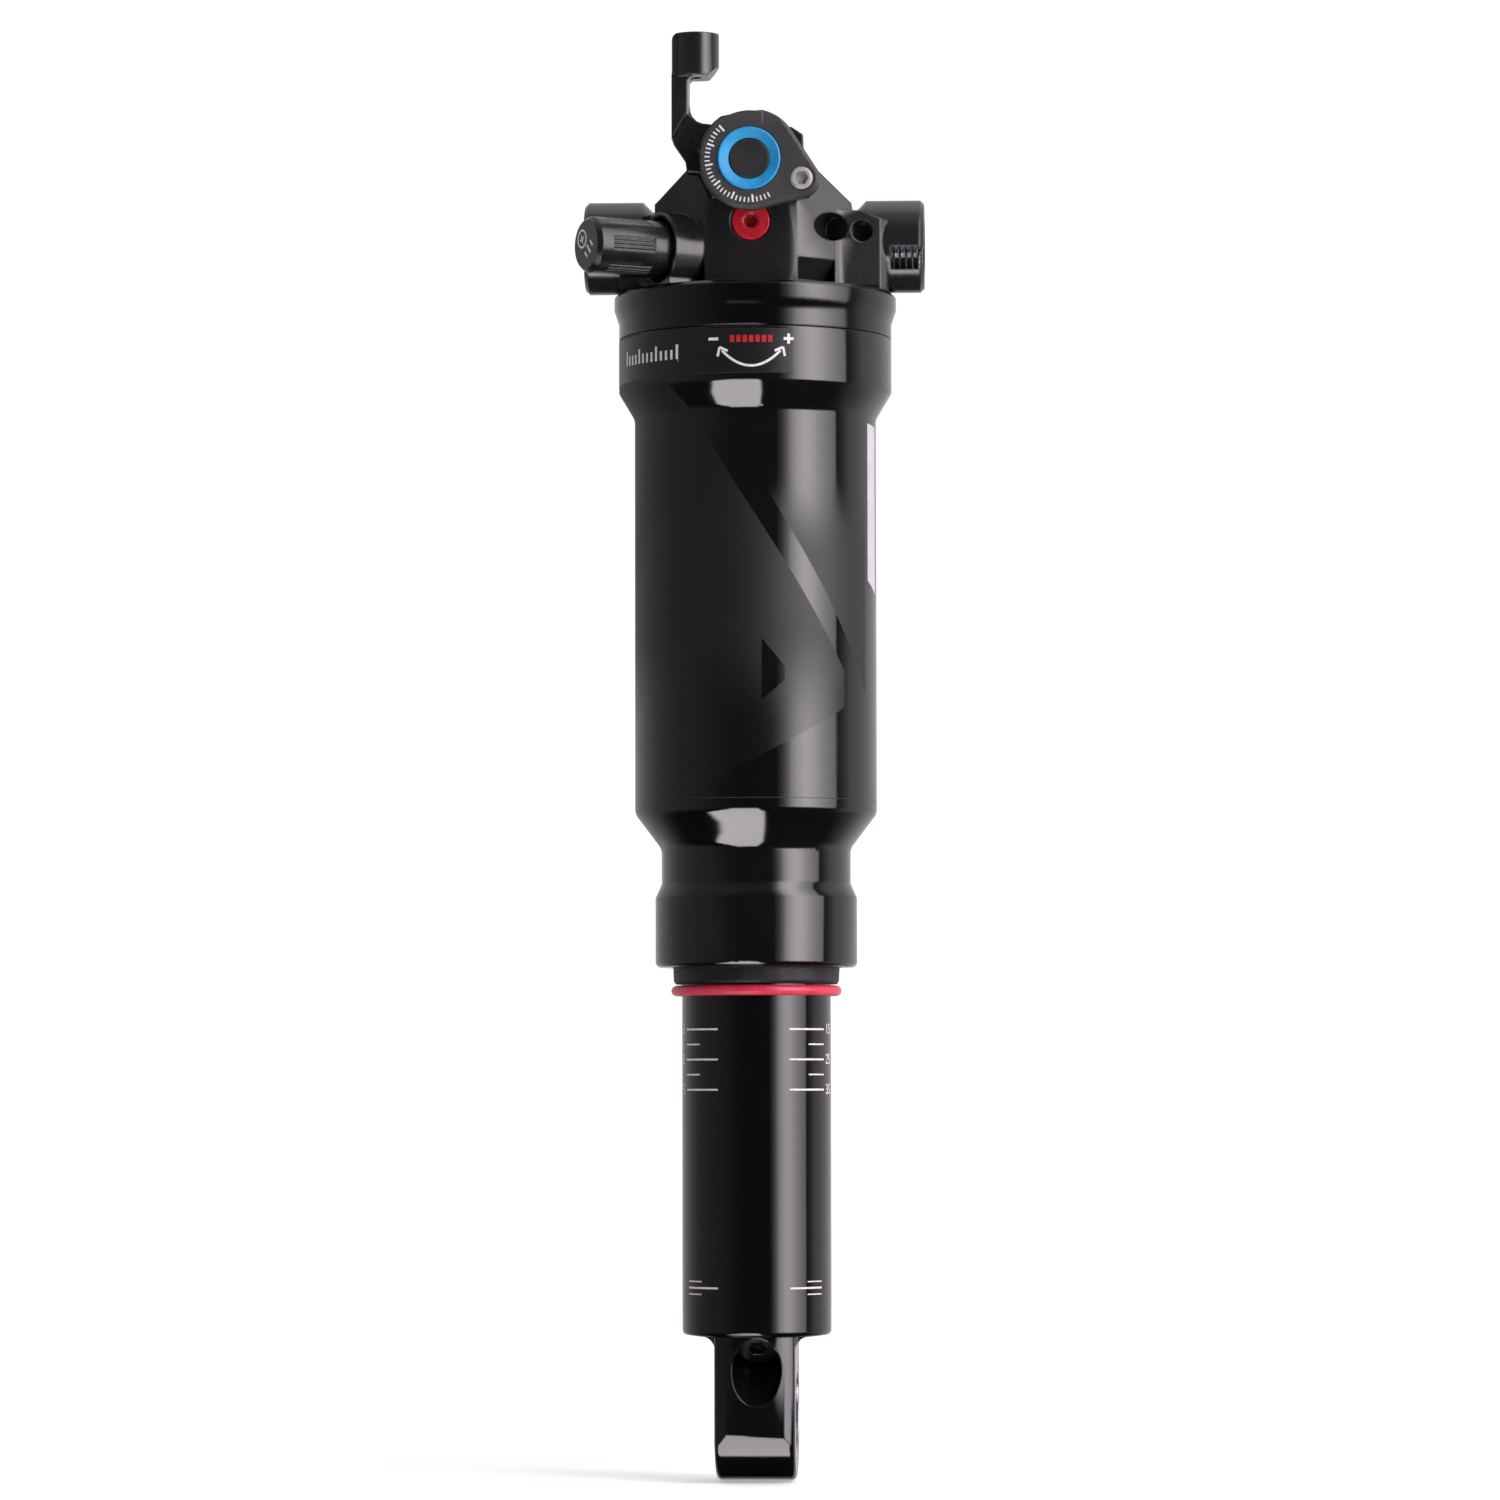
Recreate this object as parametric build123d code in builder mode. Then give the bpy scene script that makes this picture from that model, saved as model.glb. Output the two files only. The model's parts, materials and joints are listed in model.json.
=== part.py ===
from build123d import *
import math
import os

# Rear shock with a trunnion mount, in millimetres, at full extension.
# Origin: centre of the lower eyelet's bush. +X right, along the bush and the trunnion axis;
# +Z up the shock's axis towards the head; -Y front, towards the controls.
# Heights are measured from the trunnion axis, in the tables and in every helper's arguments,
# except where a line adds TRUNNION_Z itself or says that it works from the bush.

# ---------------------------------------------------------------- driving dimensions
TRUNNION_Z = 185.0  # eye to trunnion axis
TRUNNION_HALF_WIDTH = 54.0 / 2
TRUNNION_BOSS_R = 7.35
TRUNNION_HOLE_R = 4.459  # M10 x 1 minor radius
TRUNNION_HOLE_DEPTH = 12.0

# head and air can
FLANGE_R = 22.45
COLLAR_R = 21.7
CAN_R = 19.2
CAN_BORE_R = 17.7
NECK_R = 15.0
LOWER_COLLAR_R = 16.0
BOSS_R = 19.4  # male boss that carries the can
BOSS_BOTTOM = -24.0

# tube, shaft and valve stack
TUBE_R = 11.8
TUBE_BORE_R = 10.3
TUBE_BOTTOM = -172.8
SHAFT_R = 4.5
SHAFT_BORE_R = 2.6
SHAFT_HEAD_R = 5.45
STUD_R = 3.0  # reduced lower end of the shaft
STACK_BORE_R = STUD_R + 0.05
RUN_GAP = 0.04  # seals and rings to the tube, the tube bore and the can bore
SHAFT_GAP = 0.03
ROD_R = 1.1  # the two rods inside the shaft
ROD_OFFSET = 1.25

# lower eye
EYE_R = 10.7
EYE_HALF_WIDTH = 12.7 / 2
BUSH_R = 7.5
BUSH_BORE_R = 6.35

# controls
SPOOL_Z = 11.4
HUB_R = 3.0
HUB_BORE_R = 4.0
HUB_GAP = 0.03
LOBE_X = 8.2
LOBE_Z = SPOOL_Z - 3.2
PINCH_HOLE_R = 1.05
CAM_OFFSET = 1.0
CAM_R = 1.96
CAM_ANGLE = math.radians(60.0)  # from +Z towards +X
KNOB_Z = 2.4
CRANK = 0.9  # rebound crank pin offset
STOP_SCREWS = ((-6.4, 14.8), (6.2, 7.7))  # x, z
STOP_FRONT_Y = -14.6  # front of the cable stop's plate
CABLE_X = -8.5
CABLE_Y = -17.0

# air valve
VALVE_ANGLE = math.radians(32.0)  # from -X towards -Y
VALVE_POINT = (-11.0, -9.5, -1.7)
VALVE_DIR = (-math.cos(VALVE_ANGLE), -math.sin(VALVE_ANGLE), 0.0)

# charge port, drilled from the front of the eyelet's blade, up and inwards
PORT_ANGLE = math.radians(43.0)
PORT_ENTRY = (0.4, -10.9, -178.6)
PORT_DIR = (0, math.cos(PORT_ANGLE), math.sin(PORT_ANGLE))
PORT_PLUG_START = 5.6

CUT = Mode.SUBTRACT

os.makedirs("parts", exist_ok=True)


# ---------------------------------------------------------------- frames
def lifted(point):
    """A point measured from the trunnion axis, in the shock's own frame."""
    x, y, z = point
    return (x, y, TRUNNION_Z + z)


def moved_along(start, direction, distance):
    return tuple(s + d * distance for s, d in zip(start, direction))


def level(z):
    """A horizontal sketch plane."""
    return Plane.XY.offset(TRUNNION_Z + z)


def front_plane(y):
    """A sketch plane in x and z that faces the front."""
    return Plane(origin=lifted((0, 0, 0)), x_dir=(1, 0, 0), z_dir=(0, -1, 0)).offset(-y)


def side_plane(x):
    """A sketch plane in y and z that faces right."""
    return Plane(origin=lifted((0, 0, 0)), x_dir=(0, 1, 0), z_dir=(1, 0, 0)).offset(x)


def front_turning(x, z):
    """Turning frame about an axis along Y. Outline columns: radius, y."""
    centre = lifted((x, 0, z))
    return Plane(origin=centre, x_dir=(1, 0, 0), z_dir=(0, 0, 1)), Axis(centre, (0, 1, 0))


# Turning frames: the outline's plane and the axis it turns about
UPRIGHT = (front_plane(0), Axis.Z)  # columns: radius, z
TRUNNION = (front_plane(0), Axis(lifted((0, 0, 0)), (1, 0, 0)))  # columns: x, radius
BUSH = (Plane.XZ, Axis.X)  # columns: x, radius
SPOOL = front_turning(0, SPOOL_Z)
KNOB = front_turning(0, KNOB_Z)
VALVE = (  # columns: distance outwards from VALVE_POINT, radius
    Plane(origin=lifted(VALVE_POINT), x_dir=VALVE_DIR, z_dir=(0, 0, 1)),
    Axis(lifted(VALVE_POINT), VALVE_DIR),
)


# ---------------------------------------------------------------- shape helpers
# A sketch made in a helper doesn't join the caller's part, so it is handed on explicitly.
def turn(outline, frame=UPRIGHT, mode=Mode.ADD):
    """Revolve an outline. A third value in a point is the fillet radius of that corner."""
    plane, axis = frame
    with BuildSketch(plane) as section:
        Polygon(*[point[:2] for point in outline])
        for x, y, *rounding in outline:
            if rounding:
                corner = section.vertices().sort_by_distance((x, y, 0))[0]
                fillet(corner, rounding[0])
    revolve(section.sketch, axis=axis, mode=mode)


def ring(r_in, r_out, z_low, z_high, mode=Mode.ADD, edge=0.0):
    """A turned ring about the shock's axis, with its outer edges bevelled by edge."""
    outer = [(r_out, z_low), (r_out, z_high)]
    if edge:
        outer = [
            (r_out - edge, z_low), (r_out, z_low + edge),
            (r_out, z_high - edge), (r_out - edge, z_high),
        ]
    turn([(r_in, z_low), *outer, (r_in, z_high)], mode=mode)


def prism(plane, outline, amount, mode=Mode.ADD, both=False):
    with BuildSketch(plane) as section:
        Polygon(*outline)
    extrude(section.sketch, amount=amount, both=both, mode=mode)


def front_shape(outline, y_front, y_back, mode=Mode.ADD):
    """An outline in x and z, extruded along Y."""
    prism(front_plane(y_back), outline, y_back - y_front, mode)


def front_disc(x, z, r, y_front, y_back, mode=Mode.ADD):
    """A disc whose axis lies along Y."""
    with BuildSketch(front_plane(y_back)) as section:
        with Locations((x, z)):
            Circle(r)
    extrude(section.sketch, amount=y_back - y_front, mode=mode)


def hex_socket(x, z, flat_r, y_floor, depth):
    """A hexagonal recess, open to the front."""
    with BuildSketch(front_plane(y_floor)) as section:
        with Locations((x, z)):
            RegularPolygon(radius=flat_r, side_count=6, major_radius=False)
    extrude(section.sketch, amount=depth, dir=(0, -1, 0), mode=CUT)


def block(x_centre, width, y_low, y_high, z_low, z_high, mode=Mode.ADD):
    with BuildSketch(level(z_low)) as section:
        with Locations((x_centre, (y_low + y_high) / 2)):
            Rectangle(width, y_high - y_low)
    extrude(section.sketch, amount=z_high - z_low, mode=mode)


def rod(start, direction, r, length, mode=Mode.ADD):
    """A cylinder from a point along a direction."""
    with BuildSketch(Plane(origin=lifted(start), z_dir=direction)) as section:
        Circle(r)
    extrude(section.sketch, amount=length, mode=mode)


def mirrored(right_half):
    """Close a right half outline with its mirror image on the left."""
    return right_half + [(-x, y) for x, y in reversed(right_half)]


def polar(radius, degrees):
    angle = math.radians(degrees)
    return radius * math.cos(angle), radius * math.sin(angle)


# ---------------------------------------------------------------- part helpers
def save(builder, label):
    builder.part.label = label
    export_step(builder.part, "parts/" + label + ".step")


def turned_part(label, outline, frame=UPRIGHT):
    with BuildPart() as part:
        turn(outline, frame)
    save(part, label)


def ring_part(label, r_in, r_out, z_low, z_high, edge=0.0):
    with BuildPart() as part:
        ring(r_in, r_out, z_low, z_high, edge=edge)
    save(part, label)


def oring_part(label, centre_r, z, section_r):
    with BuildPart() as part:
        with BuildSketch(front_plane(0)):
            with Locations((centre_r, z)):
                Circle(section_r)
        revolve(axis=Axis.Z)
    save(part, label)


# ---------------------------------------------------------------- head
# Outline of the cable stop's plate: x, z
PLATE = [
    (-10.1, 10.2), (-8.2, 10.0), (-6.2, 6.0), (6.5, 5.9), (9.0, 6.3), (9.0, 9.5),
    (8.3, 13.8), (8.2, 16.0), (6.4, 17.2), (2.0, 16.9), (-3.0, 16.6), (-5.9, 16.9),
    (-6.3, 17.7), (-7.6, 17.85), (-8.5, 18.2), (-9.2, 18.95), (-9.6, 19.9), (-9.7, 20.9),
    (-12.2, 20.9), (-12.2, 14.65), (-10.3, 11.8),
]
# Right half of the tower in plan: x, y
TOWER_PLAN = [(5.6, -14.7), (7.4, -14.2), (15.6, -7.3), (15.6, 9.5), (9.0, 15.0)]
# Right half of the tower from the front: x, z
TOWER_SHOULDER = [(16.5, -9.5), (16.5, 5.4), (15.2, 6.4), (10.1, 11.0), (4.6, 16.9)]
FACET_CORNER = (7.4, -14.2)  # front end of the right facet: x, y
# Undercut section: distance out from the facet, z
UNDERCUT = [(1.0, -2.0), (1.0, -9.6), (-2.9, -9.6), (-2.6, -6.4)]
SKIRT = [
    (0, BOSS_BOTTOM), (BOSS_R - 0.5, BOSS_BOTTOM), (BOSS_R, BOSS_BOTTOM + 0.5),
    (BOSS_R, -14.86), (COLLAR_R, -14.86), (COLLAR_R, -12.5),
    (FLANGE_R, -10.2), (FLANGE_R, -8.3), (FLANGE_R - 0.5, -7.8),
    (18.6, -7.4), (14.0, -6.9), (0, -6.9),
]
# Web at the right front in plan: x, y
WEB_PLAN = [
    (13.0, -2.0), (13.0, -9.55), (14.1, -8.75), (20.2, -7.5), (21.2, -6.6), (21.2, -2.0),
]
WEB_BOTTOM = -8.2


def add_skirt_and_trunnion_bosses():
    # skirt, flange, lower ring and the male boss
    turn(SKIRT)
    # gussets under the trunnion bosses
    for side in (-1, 1):
        block(side * 17.1, 8.2, -6.3, 6.3, WEB_BOTTOM, -0.5)
    # web that takes the right front drillings, with its top sloped down to the right
    prism(level(WEB_BOTTOM), WEB_PLAN, 13.0)
    front_shape([(15.5, 5.4), (22.0, 3.0), (22.0, 5.4)], -14, -2, CUT)
    for side in (1, -1):
        boss = [
            (13.0, 0), (13.0, 5.4), (16.3, 5.8), (17.8, TRUNNION_BOSS_R),
            (TRUNNION_HALF_WIDTH - 0.6, TRUNNION_BOSS_R),
            (TRUNNION_HALF_WIDTH, TRUNNION_BOSS_R - 0.6),
            (TRUNNION_HALF_WIDTH, 0),
        ]
        turn([(side * x, r) for x, r in boss], TRUNNION)


def cut_head_bores():
    # hub bore and cam cavity
    front_disc(0, SPOOL_Z, HUB_BORE_R, -20, -4.0, CUT)
    front_disc(0, SPOOL_Z, 3.3, -4.5, 2.2, CUT)
    # rebound adjuster: counterbore and spindle bore
    front_disc(0, KNOB_Z, 3.2, -20, -12.85, CUT)
    front_disc(0, KNOB_Z, 2.5, -13, -1.5, CUT)
    # axial bore for the two rods, and the shaft's socket
    rod((0, 0, -15), (0, 0, 1), SHAFT_BORE_R, 24.0, CUT)
    rod((0, 0, -25), (0, 0, 1), SHAFT_HEAD_R + 0.05, 11.0, CUT)
    # air valve bore and the passage to the can
    valve_bore = [
        (-6.0, 0), (12.0, 0), (12.0, 5.3), (4.2, 5.3),
        (3.8, 5.05), (1.6, 5.05), (1.6, 3.9), (-6.0, 3.9),
    ]
    turn(valve_bore, VALVE, CUT)
    rod((-6.75, -6.9, -25), (0, 0, 1), 1.0, 22.9, CUT)
    # O-ring groove in the male boss
    ring(17.75, BOSS_R + 1, -22.95, -21.05, CUT)
    # trunnion holes with a lead-in, and the slot through each boss's lower front wall
    hole_bottom = TRUNNION_HALF_WIDTH - TRUNNION_HOLE_DEPTH
    for side in (1, -1):
        hole = [
            (TRUNNION_HALF_WIDTH + 1, 0),
            (TRUNNION_HALF_WIDTH + 1, TRUNNION_HOLE_R + 1.4),
            (TRUNNION_HALF_WIDTH - 0.4, TRUNNION_HOLE_R),
            (hole_bottom, TRUNNION_HOLE_R),
            (hole_bottom - 1.6, 0),
        ]
        turn([(side * x, r) for x, r in hole], TRUNNION, CUT)
        block(side * 24.9, 6.2, -9, 0, -4.3, -0.9, CUT)
    # two drillings side by side at the right front
    rod((11.95, -12.78, 2.0), (0.208, 0.978, 0), 2.2, 7.6, CUT)
    rod((17.3, -13.0, 1.5), (0, 1, 0), 1.65, 7.3, CUT)
    # screw holes for the cable stop, the lower one with a counterbore
    for x, z in STOP_SCREWS:
        front_disc(x, z, 1.25, -13, -6.0, CUT)
    front_disc(*STOP_SCREWS[1], 2.25, -16, -13.0, CUT)


with BuildPart() as trunnion_head:
    # tower: a flat front panel with a narrow strip and a long facet on each side
    prism(level(-9), mirrored(TOWER_PLAN), 27.0)
    # sloping shoulders
    prism(front_plane(0), mirrored(TOWER_SHOULDER), 30, Mode.INTERSECT, both=True)
    # back slope
    prism(side_plane(-20), [(6.0, 18.0), (16.0, 4.0), (16.0, 18.0)], 40, CUT)
    # undercut foot below each front facet; the plane's y runs down on the right, up on the left
    for side in (1, -1):
        facet_plane = Plane(
            origin=lifted((side * FACET_CORNER[0], FACET_CORNER[1], 0)),
            x_dir=(side * 0.643, -0.766, 0),
            z_dir=(side * 0.766, 0.643, 0),
        )
        with BuildSketch(facet_plane):
            Polygon(*[(out, -side * z) for out, z in UNDERCUT])
        extrude(amount=14.0, mode=CUT)
    add_skirt_and_trunnion_bosses()
    # air valve boss, carried down to the flange
    boss_plane = Plane(origin=lifted(VALVE_POINT), x_dir=(0, 0, 1), z_dir=VALVE_DIR)
    with BuildSketch(boss_plane.offset(-6.0)):
        Circle(5.9)
        with Locations((-3.0, 0)):
            Rectangle(6.0, 7.0)
    extrude(amount=10.4)
    # room for the spool and its cover in front
    front_disc(0, SPOOL_Z, 8.9, -30, -14.75, CUT)
    # seat of the cable stop's plate
    with BuildSketch(front_plane(-12.0)):
        Polygon(*PLATE)
        offset(amount=0.15, kind=Kind.INTERSECTION)
    extrude(amount=10, mode=CUT)
    cut_head_bores()
save(trunnion_head, "trunnion_head")

oring_part("can_head_oring", centre_r=18.6, z=-22.0, section_r=0.8)

# ---------------------------------------------------------------- air can and its seals
turned_part("air_can", [
    (BOSS_R + 0.05, -14.9),
    (COLLAR_R, -14.9, 0.25),
    (COLLAR_R, -23.4, 0.8),
    (CAN_R, -27.6, 2.5),
    (CAN_R, -90.4, 2.0),
    (NECK_R, -96.0, 2.2),
    (NECK_R, -101.5, 1.2),
    (LOWER_COLLAR_R, -103.8, 0.5),
    (LOWER_COLLAR_R, -114.8, 0.9),
    (13.6, -114.8), (13.6, -112.0), (12.0, -112.0),  # wiper seat
    (12.0, -110.8), (14.0, -110.8), (14.0, -108.0), (12.0, -108.0),  # seal groove
    (12.0, -107.0), (13.4, -107.0), (13.4, -103.2), (12.3, -103.2),  # glide ring groove
    (12.3, -92.6),
    (CAN_BORE_R, -88.0),
    (CAN_BORE_R, -25.6),
    (BOSS_R + 0.05, -24.2),
])

ring_part("can_glide_ring", TUBE_R + RUN_GAP, 13.36, -106.95, -103.25, edge=0.15)

turned_part("can_seal", [
    (TUBE_R + RUN_GAP, -110.6), (12.35, -110.7), (12.9, -110.1), (13.45, -110.7),
    (13.95, -110.5), (13.95, -108.3), (13.45, -108.1), (12.9, -108.7),
    (12.35, -108.1), (TUBE_R + RUN_GAP, -108.2),
])

turned_part("wiper_seal", [
    (TUBE_R + 0.05, -112.1), (13.55, -112.1), (13.55, -114.75), (13.2, -114.9),
    (13.1, -117.0), (12.8, -117.45), (12.1, -117.5), (TUBE_R + 0.05, -117.2),
    (12.2, -115.4), (12.2, -113.4),
])

with BuildPart() as volume_spacer:
    ring(12.2, 17.4, -29.4, -26.0, edge=0.4)
    # narrower rim on top, up to the male boss
    ring(12.2, 14.0, -26.2, -24.05)
save(volume_spacer, "volume_spacer")

turned_part("bottom_out_bumper", [
    (SHAFT_R + 0.15, -24.05), (8.2, -24.05), (8.2, -25.5),
    (7.2, -29.4, 1.0), (SHAFT_R + 0.15, -29.4),
])

# ---------------------------------------------------------------- damper shaft and valve stack
PORT_Z = -96.1  # cross ports above the piston
PORT_REACH = 6
with BuildPart() as damper_shaft:
    turn([
        (SHAFT_BORE_R, -14.1), (SHAFT_HEAD_R, -14.1), (SHAFT_HEAD_R, -23.0),
        (SHAFT_R, -23.95), (SHAFT_R, -97.5), (STUD_R, -97.5), (STUD_R, -109.4),
        (1.6, -109.4), (1.6, -93.0), (SHAFT_BORE_R, -91.5),
    ])
    rod((-PORT_REACH, 0, PORT_Z), (1, 0, 0), 0.8, 2 * PORT_REACH, CUT)
    rod((0, -PORT_REACH, PORT_Z), (0, 1, 0), 0.8, 2 * PORT_REACH, CUT)
save(damper_shaft, "damper_shaft")

ring_part("topout_bumper", SHAFT_R + 0.05, 8.0, -94.8, -92.15, edge=0.4)
ring_part("piston_washer", STACK_BORE_R, 6.2, -98.3, -97.52, edge=0.1)

turned_part("compression_shims", [
    (STACK_BORE_R, -98.32), (5.4, -98.32), (5.4, -98.55), (6.4, -98.55), (6.4, -98.8),
    (7.4, -98.8), (7.4, -99.05), (8.4, -99.05), (8.4, -99.28), (STACK_BORE_R, -99.28),
])

with BuildPart() as main_piston:
    turn([
        (STACK_BORE_R, -99.3), (8.7, -99.3), (8.9, -99.9), (10.15, -100.1),
        (10.15, -100.8), (9.4, -100.8), (9.4, -103.2), (10.15, -103.2),
        (10.15, -103.9), (8.9, -104.1), (8.7, -104.7), (STACK_BORE_R, -104.7),
    ])
    # outer and inner rings of ports, staggered by half a pitch
    for i in range(6):
        rod((*polar(6.9, 60 * i), -105), (0, 0, 1), 1.0, 6, CUT)
        rod((*polar(5.0, 60 * i + 30), -105), (0, 0, 1), 0.7, 6, CUT)
save(main_piston, "main_piston")

ring_part("piston_band", 9.45, TUBE_BORE_R - RUN_GAP, -103.15, -100.85, edge=0.1)

turned_part("rebound_shims", [
    (STACK_BORE_R, -104.72), (7.9, -104.72), (7.9, -104.97), (6.9, -104.97),
    (6.9, -105.22), (5.9, -105.22), (5.9, -105.68), (STACK_BORE_R, -105.68),
])

with BuildPart() as piston_nut:
    with BuildSketch(level(-109.2)):
        RegularPolygon(radius=4.5, side_count=6, major_radius=False)
        Circle(STACK_BORE_R, mode=CUT)
    extrude(amount=2.9)
    # collar on top of the hexagon
    ring(STACK_BORE_R, 5.0, -106.35, -105.7)
save(piston_nut, "piston_nut")

with BuildPart() as lockout_rod:
    rod((ROD_OFFSET, 0, -88.0), (0, 0, 1), ROD_R, 97.9)
save(lockout_rod, "lockout_rod")

SLOT_HALF_HEIGHT = 0.57
with BuildPart() as rebound_rod:
    rod((-ROD_OFFSET, 0, -86.0), (0, 0, 1), ROD_R, 90.2)
    # thinner tip
    rod((-ROD_OFFSET, 0, -90.0), (0, 0, 1), 0.7, 4.2)
    # slot for the crank pin
    block(-1, 4, -1.4, -0.2, KNOB_Z - SLOT_HALF_HEIGHT, KNOB_Z + SLOT_HALF_HEIGHT, CUT)
save(rebound_rod, "rebound_rod")

# ---------------------------------------------------------------- moving tube and air piston
turned_part("damper_tube", [
    (TUBE_BORE_R, -86.02), (TUBE_R, -86.02),
    (TUBE_R, TUBE_BOTTOM, 0.8), (TUBE_BORE_R, TUBE_BOTTOM),
])

turned_part("air_piston", [
    (4.9, -78.0), (16.9, -78.0), (17.45, -78.5),
    (17.45, -79.2), (16.0, -79.2), (16.0, -82.2), (17.45, -82.2),  # ring groove
    (17.45, -83.0), (15.2, -83.0), (15.2, -85.4), (17.45, -85.4),  # seal groove
    (17.45, -86.0), (10.24, -86.0), (10.24, -92.0), (6.7, -92.0), (6.7, -88.2),
    (4.9, -88.2), (4.9, -87.4), (5.65, -87.4), (5.65, -79.6), (4.9, -79.6),
])

ring_part("air_piston_ring", 16.05, CAN_BORE_R - RUN_GAP, -82.15, -79.25, edge=0.15)

turned_part("air_piston_seal", [
    (15.3, -85.2), (15.7, -85.3), (16.45, -84.8), (17.2, -85.3),
    (CAN_BORE_R - 0.03, -85.2), (CAN_BORE_R - 0.03, -83.3),
    (17.2, -83.15), (16.45, -83.7), (15.7, -83.15), (15.3, -83.3),
])

ring_part("shaft_bushing", SHAFT_R + SHAFT_GAP, 5.63, -87.38, -79.62)

turned_part("shaft_seal", [
    (SHAFT_R + SHAFT_GAP, -88.25), (6.65, -88.25), (6.65, -90.75), (6.1, -90.75),
    (5.6, -89.6), (5.0, -90.75), (SHAFT_R + SHAFT_GAP, -90.5),
])

ring_part("seal_retainer", SHAFT_R + 0.3, 6.66, -91.95, -90.8, edge=0.1)

# ---------------------------------------------------------------- lower eyelet
SHOULDER_R = 9.95
SHOULDER_TOP = TUBE_BOTTOM - 0.15
BLADE_TOP = TRUNNION_Z - 172.83  # from the bush

with BuildPart() as eyelet_shoulder:
    # concave shoulders that spread the blade out under the tube
    with BuildSketch(front_plane(0)) as shoulder:
        Polygon(*mirrored([
            (9.9, TUBE_BOTTOM), (9.9, SHOULDER_TOP),
            (EYE_HALF_WIDTH, SHOULDER_TOP), (EYE_HALF_WIDTH, -180.0),
        ]))
        for side in (1, -1):
            inside_corner = (side * EYE_HALF_WIDTH, SHOULDER_TOP, 0)
            fillet(shoulder.vertices().sort_by_distance(inside_corner)[0], 2.0)
    extrude(amount=12, both=True)
    with BuildSketch(level(-181)):
        Circle(SHOULDER_R)
    extrude(amount=10, mode=Mode.INTERSECT)


def along_port(distance):
    return moved_along(PORT_ENTRY, PORT_DIR, distance)


with BuildPart() as lower_eyelet:
    # blade and eye, drawn from the bush and turned to a round on the front and back
    with BuildSketch(Plane.YZ.offset(-EYE_HALF_WIDTH)):
        Circle(EYE_R)
        with Locations((0, BLADE_TOP / 2)):
            Rectangle(2 * EYE_R, BLADE_TOP)
    extrude(amount=2 * EYE_HALF_WIDTH)
    with BuildSketch(Plane.XY.offset(-12)):
        Circle(11.15)
    extrude(amount=30, mode=Mode.INTERSECT)
    side_edges = lower_eyelet.faces().filter_by(Axis.X).edges()
    rims = side_edges.filter_by(lambda edge: edge.center().Z < TRUNNION_Z - 173.5)
    fillet(rims, 0.9)
    add(eyelet_shoulder.part)
    # plug inside the tube
    rod((0, 0, TUBE_BOTTOM), (0, 0, 1), TUBE_BORE_R - 0.05, 4.3)
    # bore for the bush
    rod((-10, 0, -TRUNNION_Z), (1, 0, 0), BUSH_R, 20, CUT)
    # charge port: pocket, plug bore and passage
    rod(along_port(-4), PORT_DIR, 3.9, 11.4, CUT)
    rod(along_port(7), PORT_DIR, 2.0, 2.8, CUT)
    rod(along_port(9), PORT_DIR, 1.0, 9.0, CUT)
save(lower_eyelet, "lower_eyelet")

with BuildPart() as charge_port_plug:
    plug_face = along_port(PORT_PLUG_START)
    rod(plug_face, PORT_DIR, 3.0, 1.78)
    rod(along_port(7.3), PORT_DIR, 1.95, 2.3)
    with BuildSketch(Plane(origin=lifted(plug_face), x_dir=(1, 0, 0), z_dir=PORT_DIR)):
        RegularPolygon(radius=1.25, side_count=6, major_radius=False)
    extrude(amount=1.4, mode=CUT)
save(charge_port_plug, "charge_port_plug")

turned_part("eyelet_bushing", [
    (-EYE_HALF_WIDTH, BUSH_BORE_R), (EYE_HALF_WIDTH, BUSH_BORE_R),
    (EYE_HALF_WIDTH, BUSH_R - 0.25), (EYE_HALF_WIDTH - 0.2, BUSH_R - 0.02),
    (-EYE_HALF_WIDTH + 0.2, BUSH_R - 0.02), (-EYE_HALF_WIDTH, BUSH_R - 0.25),
], BUSH)

# Floating piston inside the tube
turned_part("ifp_piston", [
    (0, -149.6), (6.5, -149.6), (7.5, -148.6), (10.25, -148.6),
    (10.25, -150.6), (8.9, -150.6), (8.9, -152.8), (10.25, -152.8),  # O-ring groove
    (10.25, -155.2), (8.0, -155.2), (7.0, -152.6), (0, -152.6),
])
oring_part("ifp_oring", centre_r=9.6, z=-151.7, section_r=0.66)

SAG_SECTION_R = 0.83
oring_part("sag_oring", TUBE_R + 0.03 + SAG_SECTION_R, -118.5, SAG_SECTION_R)

# ---------------------------------------------------------------- air valve
turned_part("valve_stem", [
    (-5.5, 1.0), (-5.5, 3.85), (13.9, 3.85), (14.3, 3.45),
    (14.3, 2.6), (-3.5, 2.6), (-3.5, 1.0),
], VALVE)

turned_part("valve_core", [
    (3.5, 0.66), (3.5, 1.7), (5.0, 2.55), (12.6, 2.55),
    (12.6, 1.25), (11.6, 1.25), (11.6, 0.66),
], VALVE)

turned_part("valve_pin", [
    (2.4, 0), (2.4, 1.6), (3.4, 1.6), (3.4, 0.6),
    (13.4, 0.6), (13.4, 1.0), (14.0, 1.0), (14.0, 0),
], VALVE)

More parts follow.
